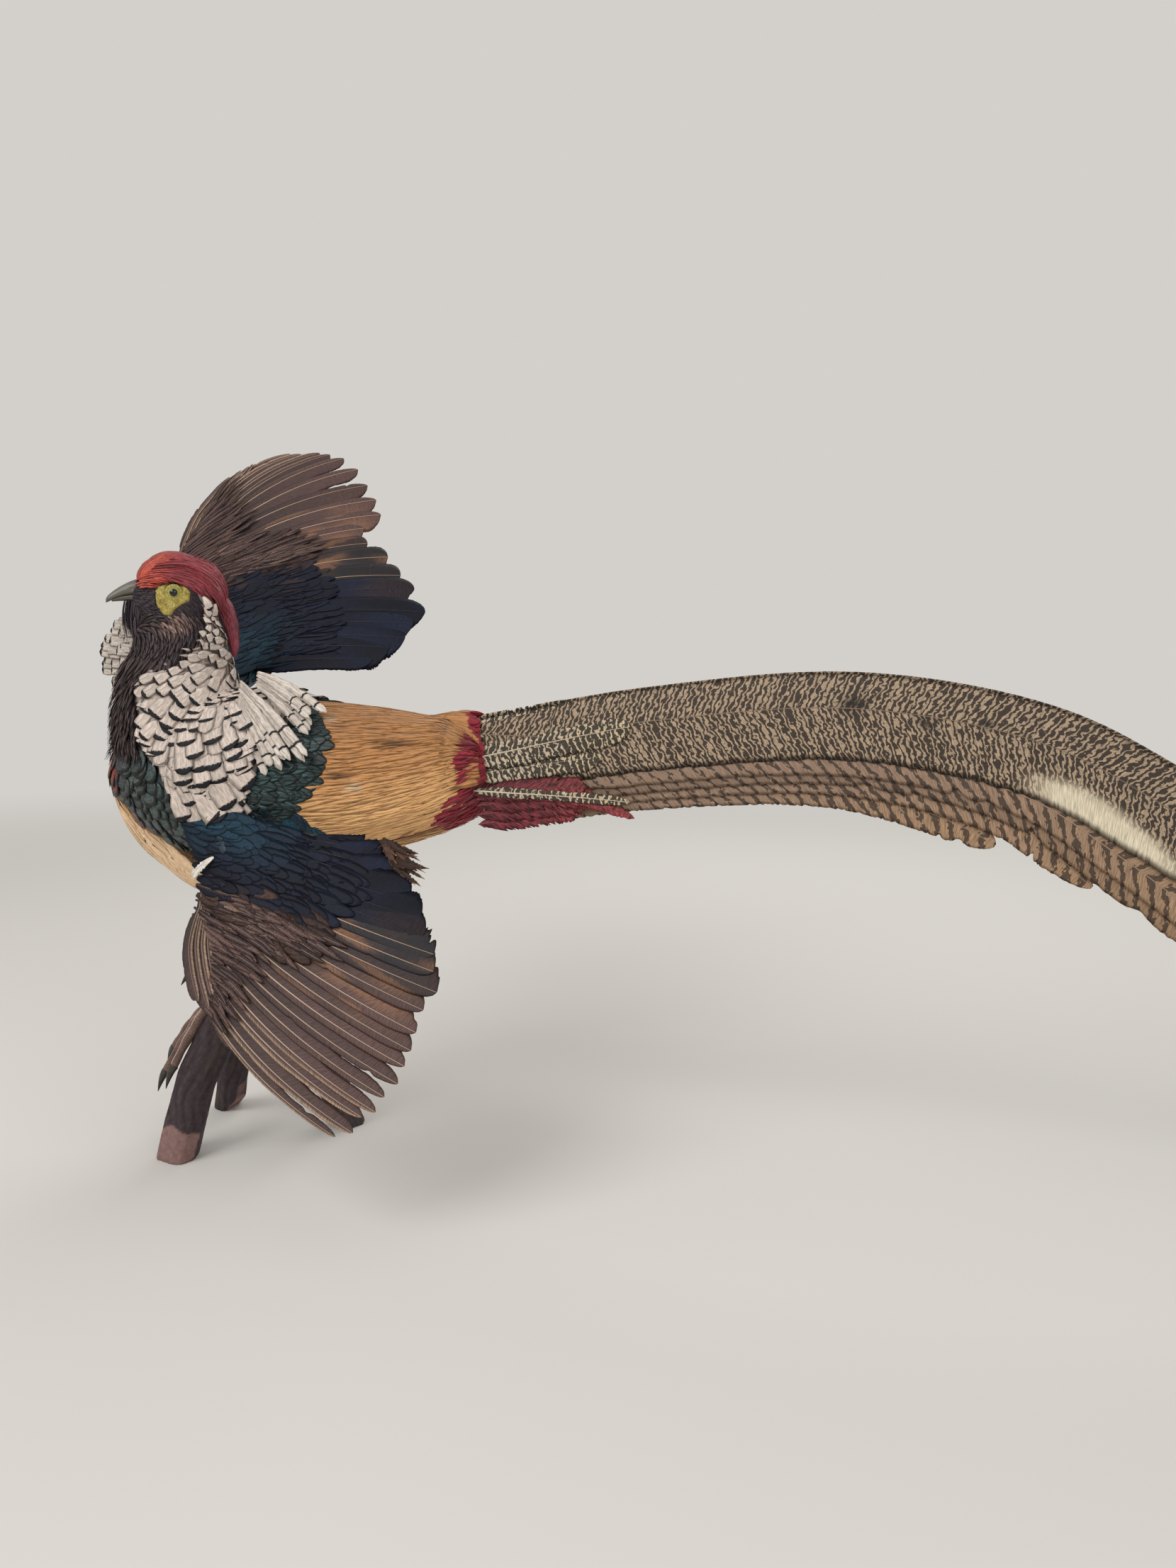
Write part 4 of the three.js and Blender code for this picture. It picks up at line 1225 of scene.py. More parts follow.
# The halves are the leading and trailing widths; colour takes each feather, the way along it
# and the way across from the trailing edge (-1) to the leading one (1).
def flightPiece(name, lines, ups, leads, halves, stops, look, colour, numbers):
    count = len(lines)
    along = unit(np.gradient(lines, axis=1))
    ups = unit(ups - along * dot(ups, along)[..., None])
    sideways = dot(np.cross(along, ups), leads)  # positive where the leading edge is on the right
    leadHalf, trailHalf = halves
    onRight = sideways[..., None] > 0
    both = np.where(onRight, pair(trailHalf, leadHalf), pair(leadHalf, trailHalf))
    columns = flightVane(look["columns"])
    vanes = vaneRings(lines, ups, both, stops, columns, look["thick"], look["arch"], look["slant"])
    part = strips(vanes, count)
    toLead = np.where(sideways > 0, 1, -1)[:, :, None] * columns[:, 0]
    part["plume"] = colour(*np.broadcast_arrays(numbers[:, None, None], stops[:, None], toLead))
    part["tint"] = random.uniform(0, 1, count)[:, None, None]
    sizes = np.array(look.get("shafts", [1.0] * count))[:, None]
    radii = (look["shaftFrom"] + (look["shaftTo"] - look["shaftFrom"]) * stops ** 0.8) * sizes
    shafts = strips(shaftRings(lines + ups * (look["thick"] / 2), ups, radii, stops), count)
    shafts.update(plume=shade(look["shaftColour"]), tint=part["tint"], slot=1)
    return ringMesh(name, [part, shafts], [
        plumeMaterial(name + "Vane", look), plumeMaterial(name + "Shaft", shaftLook)])


def tipRounding(stops, start):
    return np.sqrt(rounded(stops, start, 1 - start, 2, 0.004))


def wingFeathers(name, side, first, last, look, colour, slot, *nodes):
    wing = wings[side]
    numbers = np.arange(first, last + 1).astype(float)
    count = len(numbers)
    ends = 1 + random.normal(0, look["uneven"], count)[:, None]
    ends -= 0.14 * np.exp(-((numbers - wing.get("notch", -9)) / 0.9) ** 2)[:, None]
    u = flightStops[None] * ends
    i = numbers[:, None] + random.normal(0, look["fan"], count)[:, None] * u
    lift = 0.14 * (numbers[:, None] - 9) * np.ones_like(u)
    lines = featherPoint(wing, i, u, lift)
    leads = unit(featherPoint(wing, i - 0.5, u, lift) - featherPoint(wing, i + 0.5, u, lift))
    gaps = lengthOf(featherPoint(wing, i - 0.5, u) - featherPoint(wing, i + 0.5, u))
    ups = unit(wingAbove(wing) - leads * look["tilt"])
    shape = tipRounding(flightStops, look["tip"]) * np.minimum(0.25 + 3 * flightStops, 1)
    finger = 1 - look["finger"] * smooth(flightStops, 0.62, 0.8) * smooth(-numbers, -8, -4)[:, None]
    leadHalf = np.clip(gaps * look["lead"], 1.6, look["leadMost"]) * shape * (0.4 + 0.6 * finger)
    trailHalf = np.clip(gaps * look["trail"], 4, look["trailMost"]) * shape * finger
    halves = (leadHalf * frayed(count, flightStops, 0.04, 0.6),
              trailHalf * frayed(count, flightStops, look["fray"], look["splits"]))
    piece = flightPiece(name, lines, ups, leads, halves, flightStops, look, colour, numbers)
    finish(piece, slot, *nodes)


def streaksOf(i, u, across):  # long uneven streaks, different on each feather
    return np.sin(across * 3.4 + i * 1.9 + 1.6 * np.sin(u * 8 + i)) + 0.5 * np.sin(u * 17 + i * 2.6)


def primaryColour(i, u, across):
    base = mixed(shade("#372826"), shade("#523b37"), smooth(u, 0.1, 0.9))
    base = mixed(base, shade("#c9a98c"), 0.85 * smooth(across, 0.35, 0.95) * smooth(-i, -4.5, -2))
    buff = np.exp(-((u - 0.84) / 0.1) ** 2) * smooth(i, 5.5, 9) * smooth(-across, -0.2, 0.6)
    inner = smooth(i, 6, 8) * smooth(streaksOf(i, u, across), 0.4, 0.9)
    buff = np.maximum(buff, inner * smooth(u, 0.3, 0.45) * smooth(-u, -0.85, -0.75))
    return mixed(base, shade("#94694a"), 0.65 * buff)


def secondaryColour(i, u, across):
    brown = 0.5 * smooth(streaksOf(i, u, across), 0.4, 0.95) * smooth(u, 0.25, 0.45)
    base = mixed(shade("#332524"), shade("#8a6041"), brown)
    return mixed(base, shade("#15131a"), 0.9 * smooth(i + 0.8 * np.sin(u * 9) + 0.4 * across, 10.9, 12))


def tertialColour(i, u, across):
    base = mixed(shade("#0e0f1e"), shade("#141a2e"), 0.5 + 0.5 * np.sin(u * 8 + i * 2.1 + across))
    return mixed(base, shade("#3a2920"), 0.4 * smooth(-i, -14, -13) * smooth(u, 0.6, 0.8))


# Flight feathers are stiff, dull vanes of brown keratin, with a little shine along the barbs.
primaryLook = {
    "columns": 9, "thick": 0.35, "arch": 0.1, "slant": 1.1, "shaftFrom": 0.72, "shaftTo": 0.16,
    "shaftColour": "#bfa28c", "uneven": 0.012, "fan": 0.07, "tilt": 0.1, "tip": 0.87, "lead": 0.46,
    "trail": 1.25, "leadMost": 5, "trailMost": 12, "fray": 0.06, "splits": 0.8, "finger": 0.45,
    "shader": {"Roughness": 0.55, "Specular IOR Level": 0.4}, "varies": 0.22, "barbs": (2.2, 15, 1),
    "streak": 0.4, "bump": 0.6}
secondaryLook = dict(primaryLook, lead=0.6, shaftColour="#b8987c", fray=0.14, splits=4)
tertialLook = dict(
    secondaryLook, shaftColour="#14161f", shader={"Roughness": 0.6, "Specular IOR Level": 0.22},
    lead=0.85, tip=0.79, fray=0.08, splits=1.5, fan=0.12, shaftFrom=0.5, streak=0.5)
farPrimaryLook = dict(
    primaryLook, trail=1.5, trailMost=17, lead=0.55, leadMost=7, tip=0.86, uneven=0.008, fan=0.05,
    fray=0.05, finger=0.3)
# The look of each wing's primaries, and how much wider its inner feathers are than their gaps.
for side, outermost, wide in (("left", primaryLook, 1.25), ("right", farPrimaryLook, 1.45)):
    webs = {"trailMost": 14 * wide, "leadMost": 9 * wide, "trail": 1.25 * wide}
    for group, first, last, look, colour, slot in (
            ("primaries", 0, 9, outermost, primaryColour, "flight_feathers"),
            ("secondaries", 10, 12, dict(secondaryLook, **webs), secondaryColour, "flight_feathers"),
            ("tertials", 13, 18, dict(tertialLook, **webs), tertialColour, "wing_covert_feathers")):
        wingFeathers(f"{side}_{group}", side, first, last, look, colour, slot, f"wing_{side}_{group}")


def armCoat(name, side, face, look, slot, *nodes):
    wing = wings[side]
    a, b = random.uniform(*look["between"], look["tries"]), random.uniform(-0.02, 1.0, look["tries"])
    fits = b < look["until"](a)
    a, b = a[fits], b[fits]
    spots = armPoint(wing, a, b)
    alongWing, acrossWing = armPoint(wing, a + 0.01, b) - spots, armPoint(wing, a, b + 0.01) - spots
    stretch = lengthOf(np.cross(alongWing, acrossWing))
    likely = random.uniform(0, stretch.max(), len(a)) < stretch
    a, b, spots = a[likely], b[likely], spots[likely]
    kept = thin(spots, look["spacing"])
    a, b = a[kept], b[kept]
    count = len(a)
    stops = np.array((0, 0.3, 0.55, 0.75, 0.9, 1))
    grown = np.clip(b, 0, 1) ** look["growth"] * (0.35 + 0.65 * a)
    lengths = look["short"] + (look["long"] - look["short"]) * grown
    lengths = lengths * random.uniform(0.85, 1.15, count)
    span = lengthOf(armPoint(wing, a, 1.0) - armPoint(wing, a, 0.0))
    bs = b[:, None] + lengths[:, None] * stops / span[:, None]
    aa = a[:, None] + random.normal(0, 0.02, count)[:, None] * stops
    tipLift = (look["high"] * random.uniform(0.7, 1.3, count))[:, None] * stops
    lift = armThickness(aa, np.clip(bs, 0, 1)) / 2 * look["over"] + 0.3 + tipLift
    lines = armPoint(wing, aa, bs, face * lift)
    ups = np.broadcast_to(face * wingAbove(wing), lines.shape)
    wide = (look["narrow"] + (look["wide"] - look["narrow"]) * grown) / 2
    wide = wide * random.uniform(0.9, 1.1, count)
    halves = bothSides(wide[:, None] * outlines["round"](stops))
    part = vaneRings(lines, ups, halves, stops, broadVane, look["thick"], look["arch"])
    colours = look["colour"](a, b)
    bake = pair(0.02 + 0.93 * a, 0.03 + 0.94 * np.clip(b, 0, 1))
    dress(part, colours, random.uniform(0, 1, count), bake)
    piece = ringMesh(name, [part], [plumeMaterial(name + "Plume", look)])
    finish(piece, slot, *nodes)


def handColour(a, b):
    brown = mixed(shade("#362929"), shade("#5c4642"), random.uniform(0, 1, a.shape))
    band = np.exp(-((a - 0.47) / 0.12) ** 2) * (random.uniform(0, 1, a.shape) > 0.88)
    return mixed(brown, shade("#8d7062"), 0.55 * band)


# The teal mixed in toward the body and the shoulder is painted sheen, the glints on the blue-black
# coverts.
def armColour(a, b):
    dark = mixed(shade("#0c0e1c"), shade("#11172a"), random.uniform(0, 1, a.shape))
    amount = random.uniform(0.3, 1, a.shape) * smooth(a, 0.68, 1.0) * smooth(-b, -0.75, -0.3)
    tealSheen = mixed(dark, shade("#1d4152"), amount)
    brown = 0.8 * smooth(-a - random.normal(0, 0.04, a.shape), -0.62, -0.52)
    return mixed(tealSheen, shade("#4b362c"), brown)


def underColour(a, b):
    return mixed(shade("#4f403a"), shade("#7d6859"), random.uniform(0, 1, a.shape))


# Coverts are nearly matt, so that their blue reads as colour and not as shine.
covertLook = {
    "tries": 14000, "between": (0.46, 1.03), "until": lambda a: 1.0 + 0 * a, "spacing": 4.4,
    "short": 20, "long": 48, "narrow": 7, "wide": 11, "high": 0.4, "over": 1.0, "growth": 1.0,
    "arch": 0.0, "thick": 0.08, "colour": armColour,
    "shader": {"Roughness": 0.6, "Specular IOR Level": 0.22}, "varies": 0.15, "barbs": (5, 5, 1),
    "streak": 0.3, "bump": 0.4}
handLook = dict(
    covertLook, between=(0.0, 0.56), until=lambda a: 0.5 + 0.5 * smooth(a, 0.36, 0.56), spacing=3.8,
    short=34, long=62, narrow=3.6, wide=5.6, colour=handColour, high=0.9, over=0.9, growth=0.6,
    shaft="#8a7464", shaftWide=0.1, streak=0.4, barbs=(3, 10, 1))
underLook = dict(covertLook, between=(0.0, 1.03), spacing=5, colour=underColour, high=1.0)
for side in wings:
    armCoat(side + "_wing_coverts", side, 1, covertLook, "wing_covert_feathers",
            "wing_" + side + "_arm")
    armCoat(side + "_hand_coverts", side, 1, handLook, "flight_feathers")
    armCoat(side + "_wing_lining", side, -1, underLook, "wing_covert_feathers")

alulaLook = dict(primaryLook, columns=7, shaftFrom=0.5, tip=0.8, varies=0.15, shaftColour="#8f7868")
for side, wing in wings.items():
    thumb = wing["thumb"]
    root, tip = np.array(thumb["root"], float), np.array(thumb["tip"], float)
    sideways = unit(np.array([-(tip - root)[1], (tip - root)[0]]))
    a = np.array([0.16, 0.36, 0.58, 0.8])[:, None]
    b = (flightStops[None] * 1.16 - 0.16) * np.array([1, 0.96, 0.9, 0.8])[:, None]
    fan = (a - 0.5) * thumb["width"] * np.sqrt(1 - 0.9 * np.clip(2 * b - 1, -1, 1) ** 4)
    shift = fan - thumb["bow"] * 4 * b * (1 - b)
    flat = root + (tip - root) * b[..., None] + sideways * shift[..., None]
    lift = 0.5 + 5 * smooth(b, 0.0, 0.4) + 5 * b + 0.5 * np.arange(4)[:, None]
    lines = wingPoint(wing, flat, lift)
    lead = -sideways[0] * backward - sideways[1] * wingOut(wing)
    leads = unit(np.broadcast_to(lead, lines.shape))
    ups = unit(wingAbove(wing) - leads * 0.12)
    shape = tipRounding(flightStops, alulaLook["tip"]) * np.minimum(0.3 + 3 * flightStops, 1)
    halves = (2.6 * shape * np.ones((4, 1)), 5.2 * shape * frayed(4, flightStops, 0.08, 2))
    piece = flightPiece(side + "_alula", lines, ups, leads, halves, flightStops, alulaLook,
                        primaryColour, np.full(4, 2.0))
    finish(piece, "flight_feathers", "wing_" + side + "_alula")

# Long blue-green feathers of the shoulders cover where each wing leaves the body; their teal is
# painted sheen.
shoulderLines = {side: (wingPoint(wing, np.array([-24.0, -2.0])),
                        wingPoint(wing, np.array([74.0, 14.0])))
                 for side, wing in wings.items()}


def shoulderGap(points, side):
    start, end = shoulderLines[side]
    t = np.clip((points - start) @ (end - start) / np.sum((end - start) ** 2), 0, 1)
    return lengthOf(points - start - t[:, None] * (end - start))


# Dark blue, with teal at random: the teal is painted sheen, the shoulder's glints.
def shoulderColour(roots, region):
    return mixed(shade("#1a2938"), shade("#1c4656"), random.uniform(0, 1, len(roots)) ** 1.2)


for side, wing in wings.items():
    def lieOfShoulder(points, out=wingOut(wing)):
        return unit(np.broadcast_to(0.55 * backward + 0.85 * out, points.shape))

    shoulderLook = dict(
        mantleLook, spacing=4.2, length=24, width=9, high=1.8, low=0.4, lie=lieOfShoulder,
        colour=shoulderColour, edgeBand=(0.8, 1.0, 0.5), stray=0.12)
    coat(side + "_shoulder", shoulderLook, ["mantle", "rump", "arm", "belly"], "wing_covert_feathers",
         where=lambda points, side=side: (shoulderGap(points, side) < 12) & (
             (points[:, 0] < 54) | (points[:, 2] < 234)))


# The tail: two long central feathers set like a roof, outer ones below, coverts at the base.
tailLine = [(176, 85, 289), (300, 84, 310), (428, 80, 319), (534, 75, 300), (600, 71, 266),
            (700, 64, 198), (800, 57, 125), (885, 52, 62)]
tailLean = math.radians(30)
tailSlopes = {"left": math.radians(52), "right": math.radians(86)}


# A point of the tail: t along it, a spread down its side from the ridge, lifted off its face.
def roofPoint(side, t, spread, lift):
    values = (np.asarray(value, float) for value in (t, spread, lift))
    t, spread, lift = np.broadcast_arrays(*values)
    t = np.clip(t, 0, 0.9999)
    centre = curveAt(tailLine, t)
    before, after = np.maximum(t - 0.0005, 0), np.minimum(t + 0.0005, 1)
    along = unit(curveAt(tailLine, after) - curveAt(tailLine, before))
    level = unit(np.cross(np.broadcast_to(upward, along.shape), along))
    straight = np.cross(along, level)
    top = straight * math.cos(tailLean) - level * math.sin(tailLean)
    left = np.cross(along, top)
    sign = 1 if side == "left" else -1
    slope = tailSlopes[side]
    down = left * (sign * math.cos(slope)) - top * math.sin(slope)
    normal = top * math.cos(slope) + left * (sign * math.sin(slope))
    point = centre + left * sign + down * spread[..., None] + normal * lift[..., None]
    return point, normal, -down


def tailStops(look):
    return np.linspace(0, 1, look["rings"]) ** 0.97


def column(*values):  # one value for each feather
    return np.array(values, float)[:, None]


def tailFeathers(name, side, plan, look, colour, slot, *nodes):
    stops = tailStops(look)
    t = plan["start"] + (plan["end"] - plan["start"]) * stops
    lines, ups, leads = roofPoint(side, t, plan["spread"], plan["lift"])
    count = len(lines)
    halves = []
    for edge, share in (("upper", 0.4), ("lower", 1.0)):  # the upper edge is the tidier one
        torn = frayed(count, stops, look["fray"] * share, look["splits"] * share)
        halves.append(plan[edge] * plan["taper"](stops) * torn)
    ups = unit(ups + leads * look["tilt"])
    numbers = np.arange(count).astype(float)
    piece = flightPiece(name, lines, ups, leads, halves, stops, look, colour, numbers)
    finish(piece, slot, *nodes)
    return piece


# The net of thin dark bars and cells on tail feathers, over the colour of their own vanes.
def barredMaterial(name, look):
    material = plumeMaterial(name, look)
    add = adder(material)
    surface = material.node_tree.nodes["Principled BSDF"]
    ground = surface.inputs["Base Color"].links[0].from_socket
    tint = add("Attribute", {"attribute_name": "tint"}).outputs["Fac"]
    barb = add("UVMap", {"uv_map": "Barb"})
    wander = add("TexNoise", onPlane, {"Vector": barb, "Scale": look["wander"], "Detail": 3.0})
    split = add("SeparateXYZ", {}, {0: barb})
    phase = add("Math", "MULTIPLY", {0: split.outputs[1], 1: 2 * math.pi * 10 / look["barEvery"]})
    if "chevron" in look:  # bars lean back from the shaft, out of step with the next feather's
        phase = add("Math", "MULTIPLY_ADD", {0: tint, 1: look["shift"], 2: phase})
        aside = add("Math", "ABSOLUTE", {0: split})
        phase = add("Math", "MULTIPLY_ADD", {0: aside, 1: look["chevron"], 2: phase})
    phase = add("Math", "MULTIPLY_ADD", {0: wander, 1: look["wiggle"], 2: phase})
    wave = add("Math", "SINE", {0: phase})
    stretch = add("Mapping", {}, {0: barb, 3: look["cells"]})
    cells = add("TexNoise", onPlane, {"Vector": stretch, "Scale": 1.0, "Detail": 1.0})
    broken = add("Math", "MULTIPLY_ADD", {0: cells, 1: look["breaks"], 2: -0.5 * look["breaks"]})
    net = add("Math", "ADD", {0: wave, 1: broken})
    if "flecks" in look:  # the bars break up into flecks toward the root
        way = add("SeparateXYZ", {}, {0: add("UVMap", {"uv_map": "Vane"})})
        fewer = add("MapRange", {}, {0: way.outputs[1], 1: 0.15, 2: 0.45, 3: -look["flecks"], 4: 0.0})
        net = add("Math", "ADD", {0: net, 1: fewer})
    bars = add("MapRange", eased, {
        0: net, 1: look["barFrom"], 2: look["barTo"], 3: 0.0, 4: look["barDepth"]})
    if look["barsFade"]:  # where the tint does
        bars = add("Math", "MULTIPLY", {0: bars, 1: tint})
    colour = add("Mix", inColour, {0: bars, 6: ground, 7: look["barColour"]})
    wire(surface, {"Base Color": colour})
    return material


def tailColour(ground, far):
    def colour(number, stop, across):
        return mixed(shade(ground), shade(far), smooth(stop, 0.3, 1))
    return colour


def centralColour(number, stop, across):  # the far end of the lower web is pale and plain
    base = mixed(shade("#ab947b"), shade("#a08a73"), smooth(stop, 0.1, 1))
    base = mixed(base, shade("#d8ccb2"), palePatch(stop, across))
    for place, reach, size in tailSpots:
        away = ((stop - place) / 0.005 / size) ** 2 + ((across - reach) / 0.1 / size) ** 2
        base = mixed(base, shade("#1f1916"), np.exp(-away))
    return mixed(base, shade("#2a221d"), 0.8 * smooth(-across, 0.93, 0.99))


# Dark spots on the central feathers: the way along, the way across, and the size.
tailSpots = [(0.276, 0.15, 2), (0.377, 0.1, 1.1), (0.331, -0.15, 1.1)]


def palePatch(stop, across):
    deep = 0.35 + 25.2 * (stop - 0.49) ** 2
    return smooth(stop, 0.39, 0.44) * smooth(-stop, -0.64, -0.56) * smooth(-across - deep, 0, 0.22)


def longTaper(b):
    return np.maximum(0.05, np.minimum(1, 3.4 * (1 - b)) ** 0.7) * np.minimum(0.35 + 12 * b, 1)


def pointedTaper(b):
    return np.sqrt(rounded(b, 0.8, 0.2, 2, 0.01)) * np.minimum(0.4 + 5 * b, 1)


# Tail feathers are matt, with only the shaft catching the light.
centralLook = {
    "rings": 380, "columns": 17, "thick": 0.5, "arch": 0.06, "slant": 0.45, "shaftFrom": 0.3,
    "shaftTo": 0.2, "shaftColour": "#7d6a56", "fray": 0.04, "splits": 0, "tilt": 0.0,
    "shader": {"Roughness": 0.6, "Specular IOR Level": 0.3}, "varies": 0.0, "barbs": (1.4, 16, 1),
    "streak": 0.25, "bump": 0.5, "barEvery": 3.5, "wander": 2.6, "wiggle": 13.0, "cells": (3, 4, 1),
    "breaks": 2.2, "barFrom": -0.4, "barTo": 0.0, "barDepth": 0.92, "barColour": "#241d1a",
    "barsFade": True}
centralPlans = {"left": (20, 31), "right": (12, 17)}
for side, (upper, lower) in centralPlans.items():
    stops = tailStops(centralLook)
    plan = {
        "start": 0.005, "end": column(1), "lift": 2.0, "upper": upper, "lower": lower,
        "taper": longTaper, "spread": upper * (0.25 + 0.75 * longTaper(stops))}
    piece = tailFeathers(side + "_central_feather", side, plan, centralLook, centralColour,
                         "tail_feathers", "tail_central_" + side)
    piece.data.materials[0] = barredMaterial(side + "CentralBarred", centralLook)
    # The pale patch has no bars: its tint is nought there.
    vanes = centralLook["rings"] * (2 * centralLook["columns"] - 2)
    tints = np.ones(len(piece.data.vertices))
    columns = flightVane(centralLook["columns"])[:, 0]
    if side == "left":
        tints[:vanes] = 1 - palePatch(*np.broadcast_arrays(stops[:, None], -columns)).ravel()
    piece.data.attributes["tint"].data.foreach_set("value", tints)

outerLook = dict(
    centralLook, rings=220, columns=11, slant=0.7, shaftFrom=0.8, shaftTo=0.15,
    shaftColour="#a58a74", fray=0.08, splits=3, tilt=0.1, barEvery=9.5, wander=1.4, wiggle=5.0,
    chevron=-2.6, cells=(3.5, 5, 1), breaks=3.0, shift=40.0, flecks=0.45, barFrom=0.2, barTo=0.5,
    barColour="#2a211d", barDepth=0.8, varies=0.15, streak=0.35, barsFade=False)
outerReach = {"left": 1.0, "right": 0.72}
for side, reach in outerReach.items():
    plan = {
        "start": 0.01, "end": column(0.76, 0.68, 0.56, 0.42),
        "lift": column(-1.0, -2.4, -3.8, -5.2), "upper": 10.0, "lower": 12.0 * (0.6 + 0.4 * reach),
        "taper": pointedTaper,
        "spread": 44 + reach * column(3, 8, 13, 18) + 20 * reach * tailStops(outerLook) ** 3}
    piece = tailFeathers(side + "_outer_feathers", side, plan, outerLook,
                         tailColour("#8f7663", "#9b7d61"), "tail_feathers", "tail_outer_" + side)
    piece.data.materials[0] = barredMaterial(side + "OuterBarred", outerLook)

crimsonLook = dict(
    outerLook, rings=70, columns=9, slant=1.5, shaftFrom=0.4, shaftTo=0.12, shaftColour="#7a423f",
    fray=0.3, splits=4, varies=0.3, streak=0.8, barbs=(3, 5, 1))
baseLook = dict(
    centralLook, rings=80, columns=11, slant=0.3, shaftFrom=0.6, shaftTo=0.2, shaftColour="#c9b8a2",
    fray=0.12, splits=3, tilt=0.05, barEvery=4.2, wander=2.8, wiggle=11.0, breaks=2.6, barFrom=-0.7,
    barTo=-0.3, barColour="#14100f", barsFade=False, shafts=[1.0, 1.0, 0.2, 0.2])
for side, reach in outerReach.items():
    turnedOut = column(6, 26, 6, 3, 1) * tailStops(crimsonLook) ** 2
    plan = {
        "start": 0.0, "end": column(0.086, 0.122, 0.092, 0.086, 0.078),
        "lift": column(4.6, 4.1, 3.6, 3.2, 2.8), "upper": column(7, 3.5, 7, 7, 6),
        "lower": column(8, 3.5, 8, 8, 7), "taper": pointedTaper,
        "spread": 45 + reach * column(5, 8, 12, 18, 24) + turnedOut}
    tailFeathers(side + "_crimson_coverts", side, plan, crimsonLook, tailColour("#6f2a32", "#7d3334"),
                 "covert_feathers", "tail_coverts_" + side)
    turnedOut = reach * column(-4, 22, 0, 2) * tailStops(baseLook)
    plan = {
        "start": 0.0, "end": column(0.125, 0.12, 0.085, 0.1), "lift": column(2.6, 5.2, 1.2, 1.8),
        "upper": column(10, 3.5, 7, 9), "lower": column(11, 3.5, 9, 9), "taper": pointedTaper,
        "spread": reach * column(26, 47, 8, 36) + turnedOut}
    piece = tailFeathers(side + "_netted_coverts", side, plan, baseLook,
                         tailColour("#c4b298", "#c4b090"), "tail_feathers")
    piece.data.materials[0] = barredMaterial(side + "NettedBarred", baseLook)

# The rump's last feathers, gold with crimson ends, lie over the root of the tail.
bridgeCount = 260
bridgeLook = dict(
    rumpLook, fray=0.06, splits=0.5, columns=5, arch=0.02, outline="round", tipColour="#8f1f30",
    tipFrom=0.7)
bridgeSide = random.uniform(-40, 40, bridgeCount)
bridgeAt = random.uniform(0.0, 0.011, bridgeCount)
for side, chosen in (("left", bridgeSide > 0), ("right", bridgeSide <= 0)):
    spread = np.abs(bridgeSide[chosen])
    ends, ups, _ = roofPoint(side, bridgeAt[chosen], spread, random.uniform(2.6, 4.2, len(spread)))
    starts = nearest(skinTree, ends - (30, 0, 0))[0] + ups * 0.5
    lines = bowed(starts, ends, ups[:, None], 0.06)
    loose(side + "_tail_bridge", bridgeLook, lines, ups[:, None],
          random.uniform(5, 7.5, len(starts)), "#c08650", "covert_feathers")


# The bill, lofted along the head's own reach with a ridge on top and a hooked tip.
def loft(stations, steps, around, section):
    stations = np.array(stations, float)
    rows = []
    for spot in np.linspace(0, len(stations) - 1, steps):
        k = min(int(spot), len(stations) - 2)
        rows.append(stations[k] + (stations[k + 1] - stations[k]) * (spot - k))
    rows = np.array(rows)
    for _ in range(3):
        rows[1:-1] = (rows[:-2] + 2 * rows[1:-1] + rows[2:]) / 4
    rings = np.stack([section(row, turnsOf(around)) for row in rows])[None]
    vane = ringMap(around, np.linspace(0, 1, steps))
    return {"rings": rings, "Vane": vane, "OFBake": 0.02 + vane * 0.96}


def upperSection(row, turn):
    reach, rise, tall, wide = row
    height = np.abs(np.sin(turn))
    peak = np.where(np.sin(turn) > 0, height ** 1.35, -0.8 * height ** 0.7)
    side = np.cos(turn) * wide * (1 - 0.1 * np.clip(peak, 0, 1))
    low = rise + peak * tall
    nostril = np.exp(-(((reach - 25.5) / 2.2) ** 2 + ((low - rise + 0.4) / 1.0) ** 2))
    cover = np.exp(-(((reach - 25) / 3.2) ** 2 + ((low - rise - 1.6) / 1.5) ** 2))
    side = side * (1 - 0.3 * nostril + 0.1 * cover)
    return headPoint(reach, low, side)


def lowerSection(row, turn):
    reach, rise, tall, wide = row
    level = np.where(np.sin(turn) > 0, 0.45, 1.0) * np.sin(turn) * tall
    return headPoint(reach, rise + level, np.cos(turn) * wide)


# Reach, rise, height and half width of the bill's two halves at each station.
upperStations = [
    (15, 1.6, 6.6, 6.8), (20, 2.2, 6.4, 6.0), (25, 1.6, 5.6, 5.2), (30, 0.4, 4.6, 4.2),
    (35, -1.6, 3.7, 3.1), (39, -3.8, 3.0, 2.4), (42, -5.8, 2.4, 1.8), (43.4, -7.2, 1.5, 1.2)]
lowerStations = [
    (15, -4.2, 3.9, 5.6), (22, -4.1, 3.5, 4.7), (29, -4.2, 2.8, 3.7), (35, -5.2, 2.0, 2.6),
    (39.8, -6.6, 1.0, 1.3)]


# Bare horn, worn smooth: low grain along the bill and a dull shine on its ridge.
def hornMaterial(name, low, high, dark):
    material, surface, add = newMaterial(name, {"Roughness": 0.36, "Specular IOR Level": 0.5})
    place = add("TexCoord").outputs["Object"]
    stretch = add("Mapping", {}, {0: place, 3: (160, 160, 520)})
    grain = add("TexNoise", {}, {"Vector": stretch, "Scale": 1.0, "Detail": 4.0})
    tone = add("ValToRGB", {"stops": {0.3: low, 0.7: high}}, {0: grain})
    split = add("SeparateXYZ", {}, {0: add("UVMap", {"uv_map": "Vane"})})
    tip = add("MapRange", {}, {0: split.outputs[1], 1: 0.0, 2: 1.0, 3: 0.1, 4: 0.75})
    colour = add("Mix", inColour, {0: tip, 6: tone, 7: dark})
    bump = add("Bump", {}, {"Strength": 0.25, "Distance": 0.0003, "Height": grain})
    wire(surface, {"Base Color": colour, "Normal": bump})
    return material


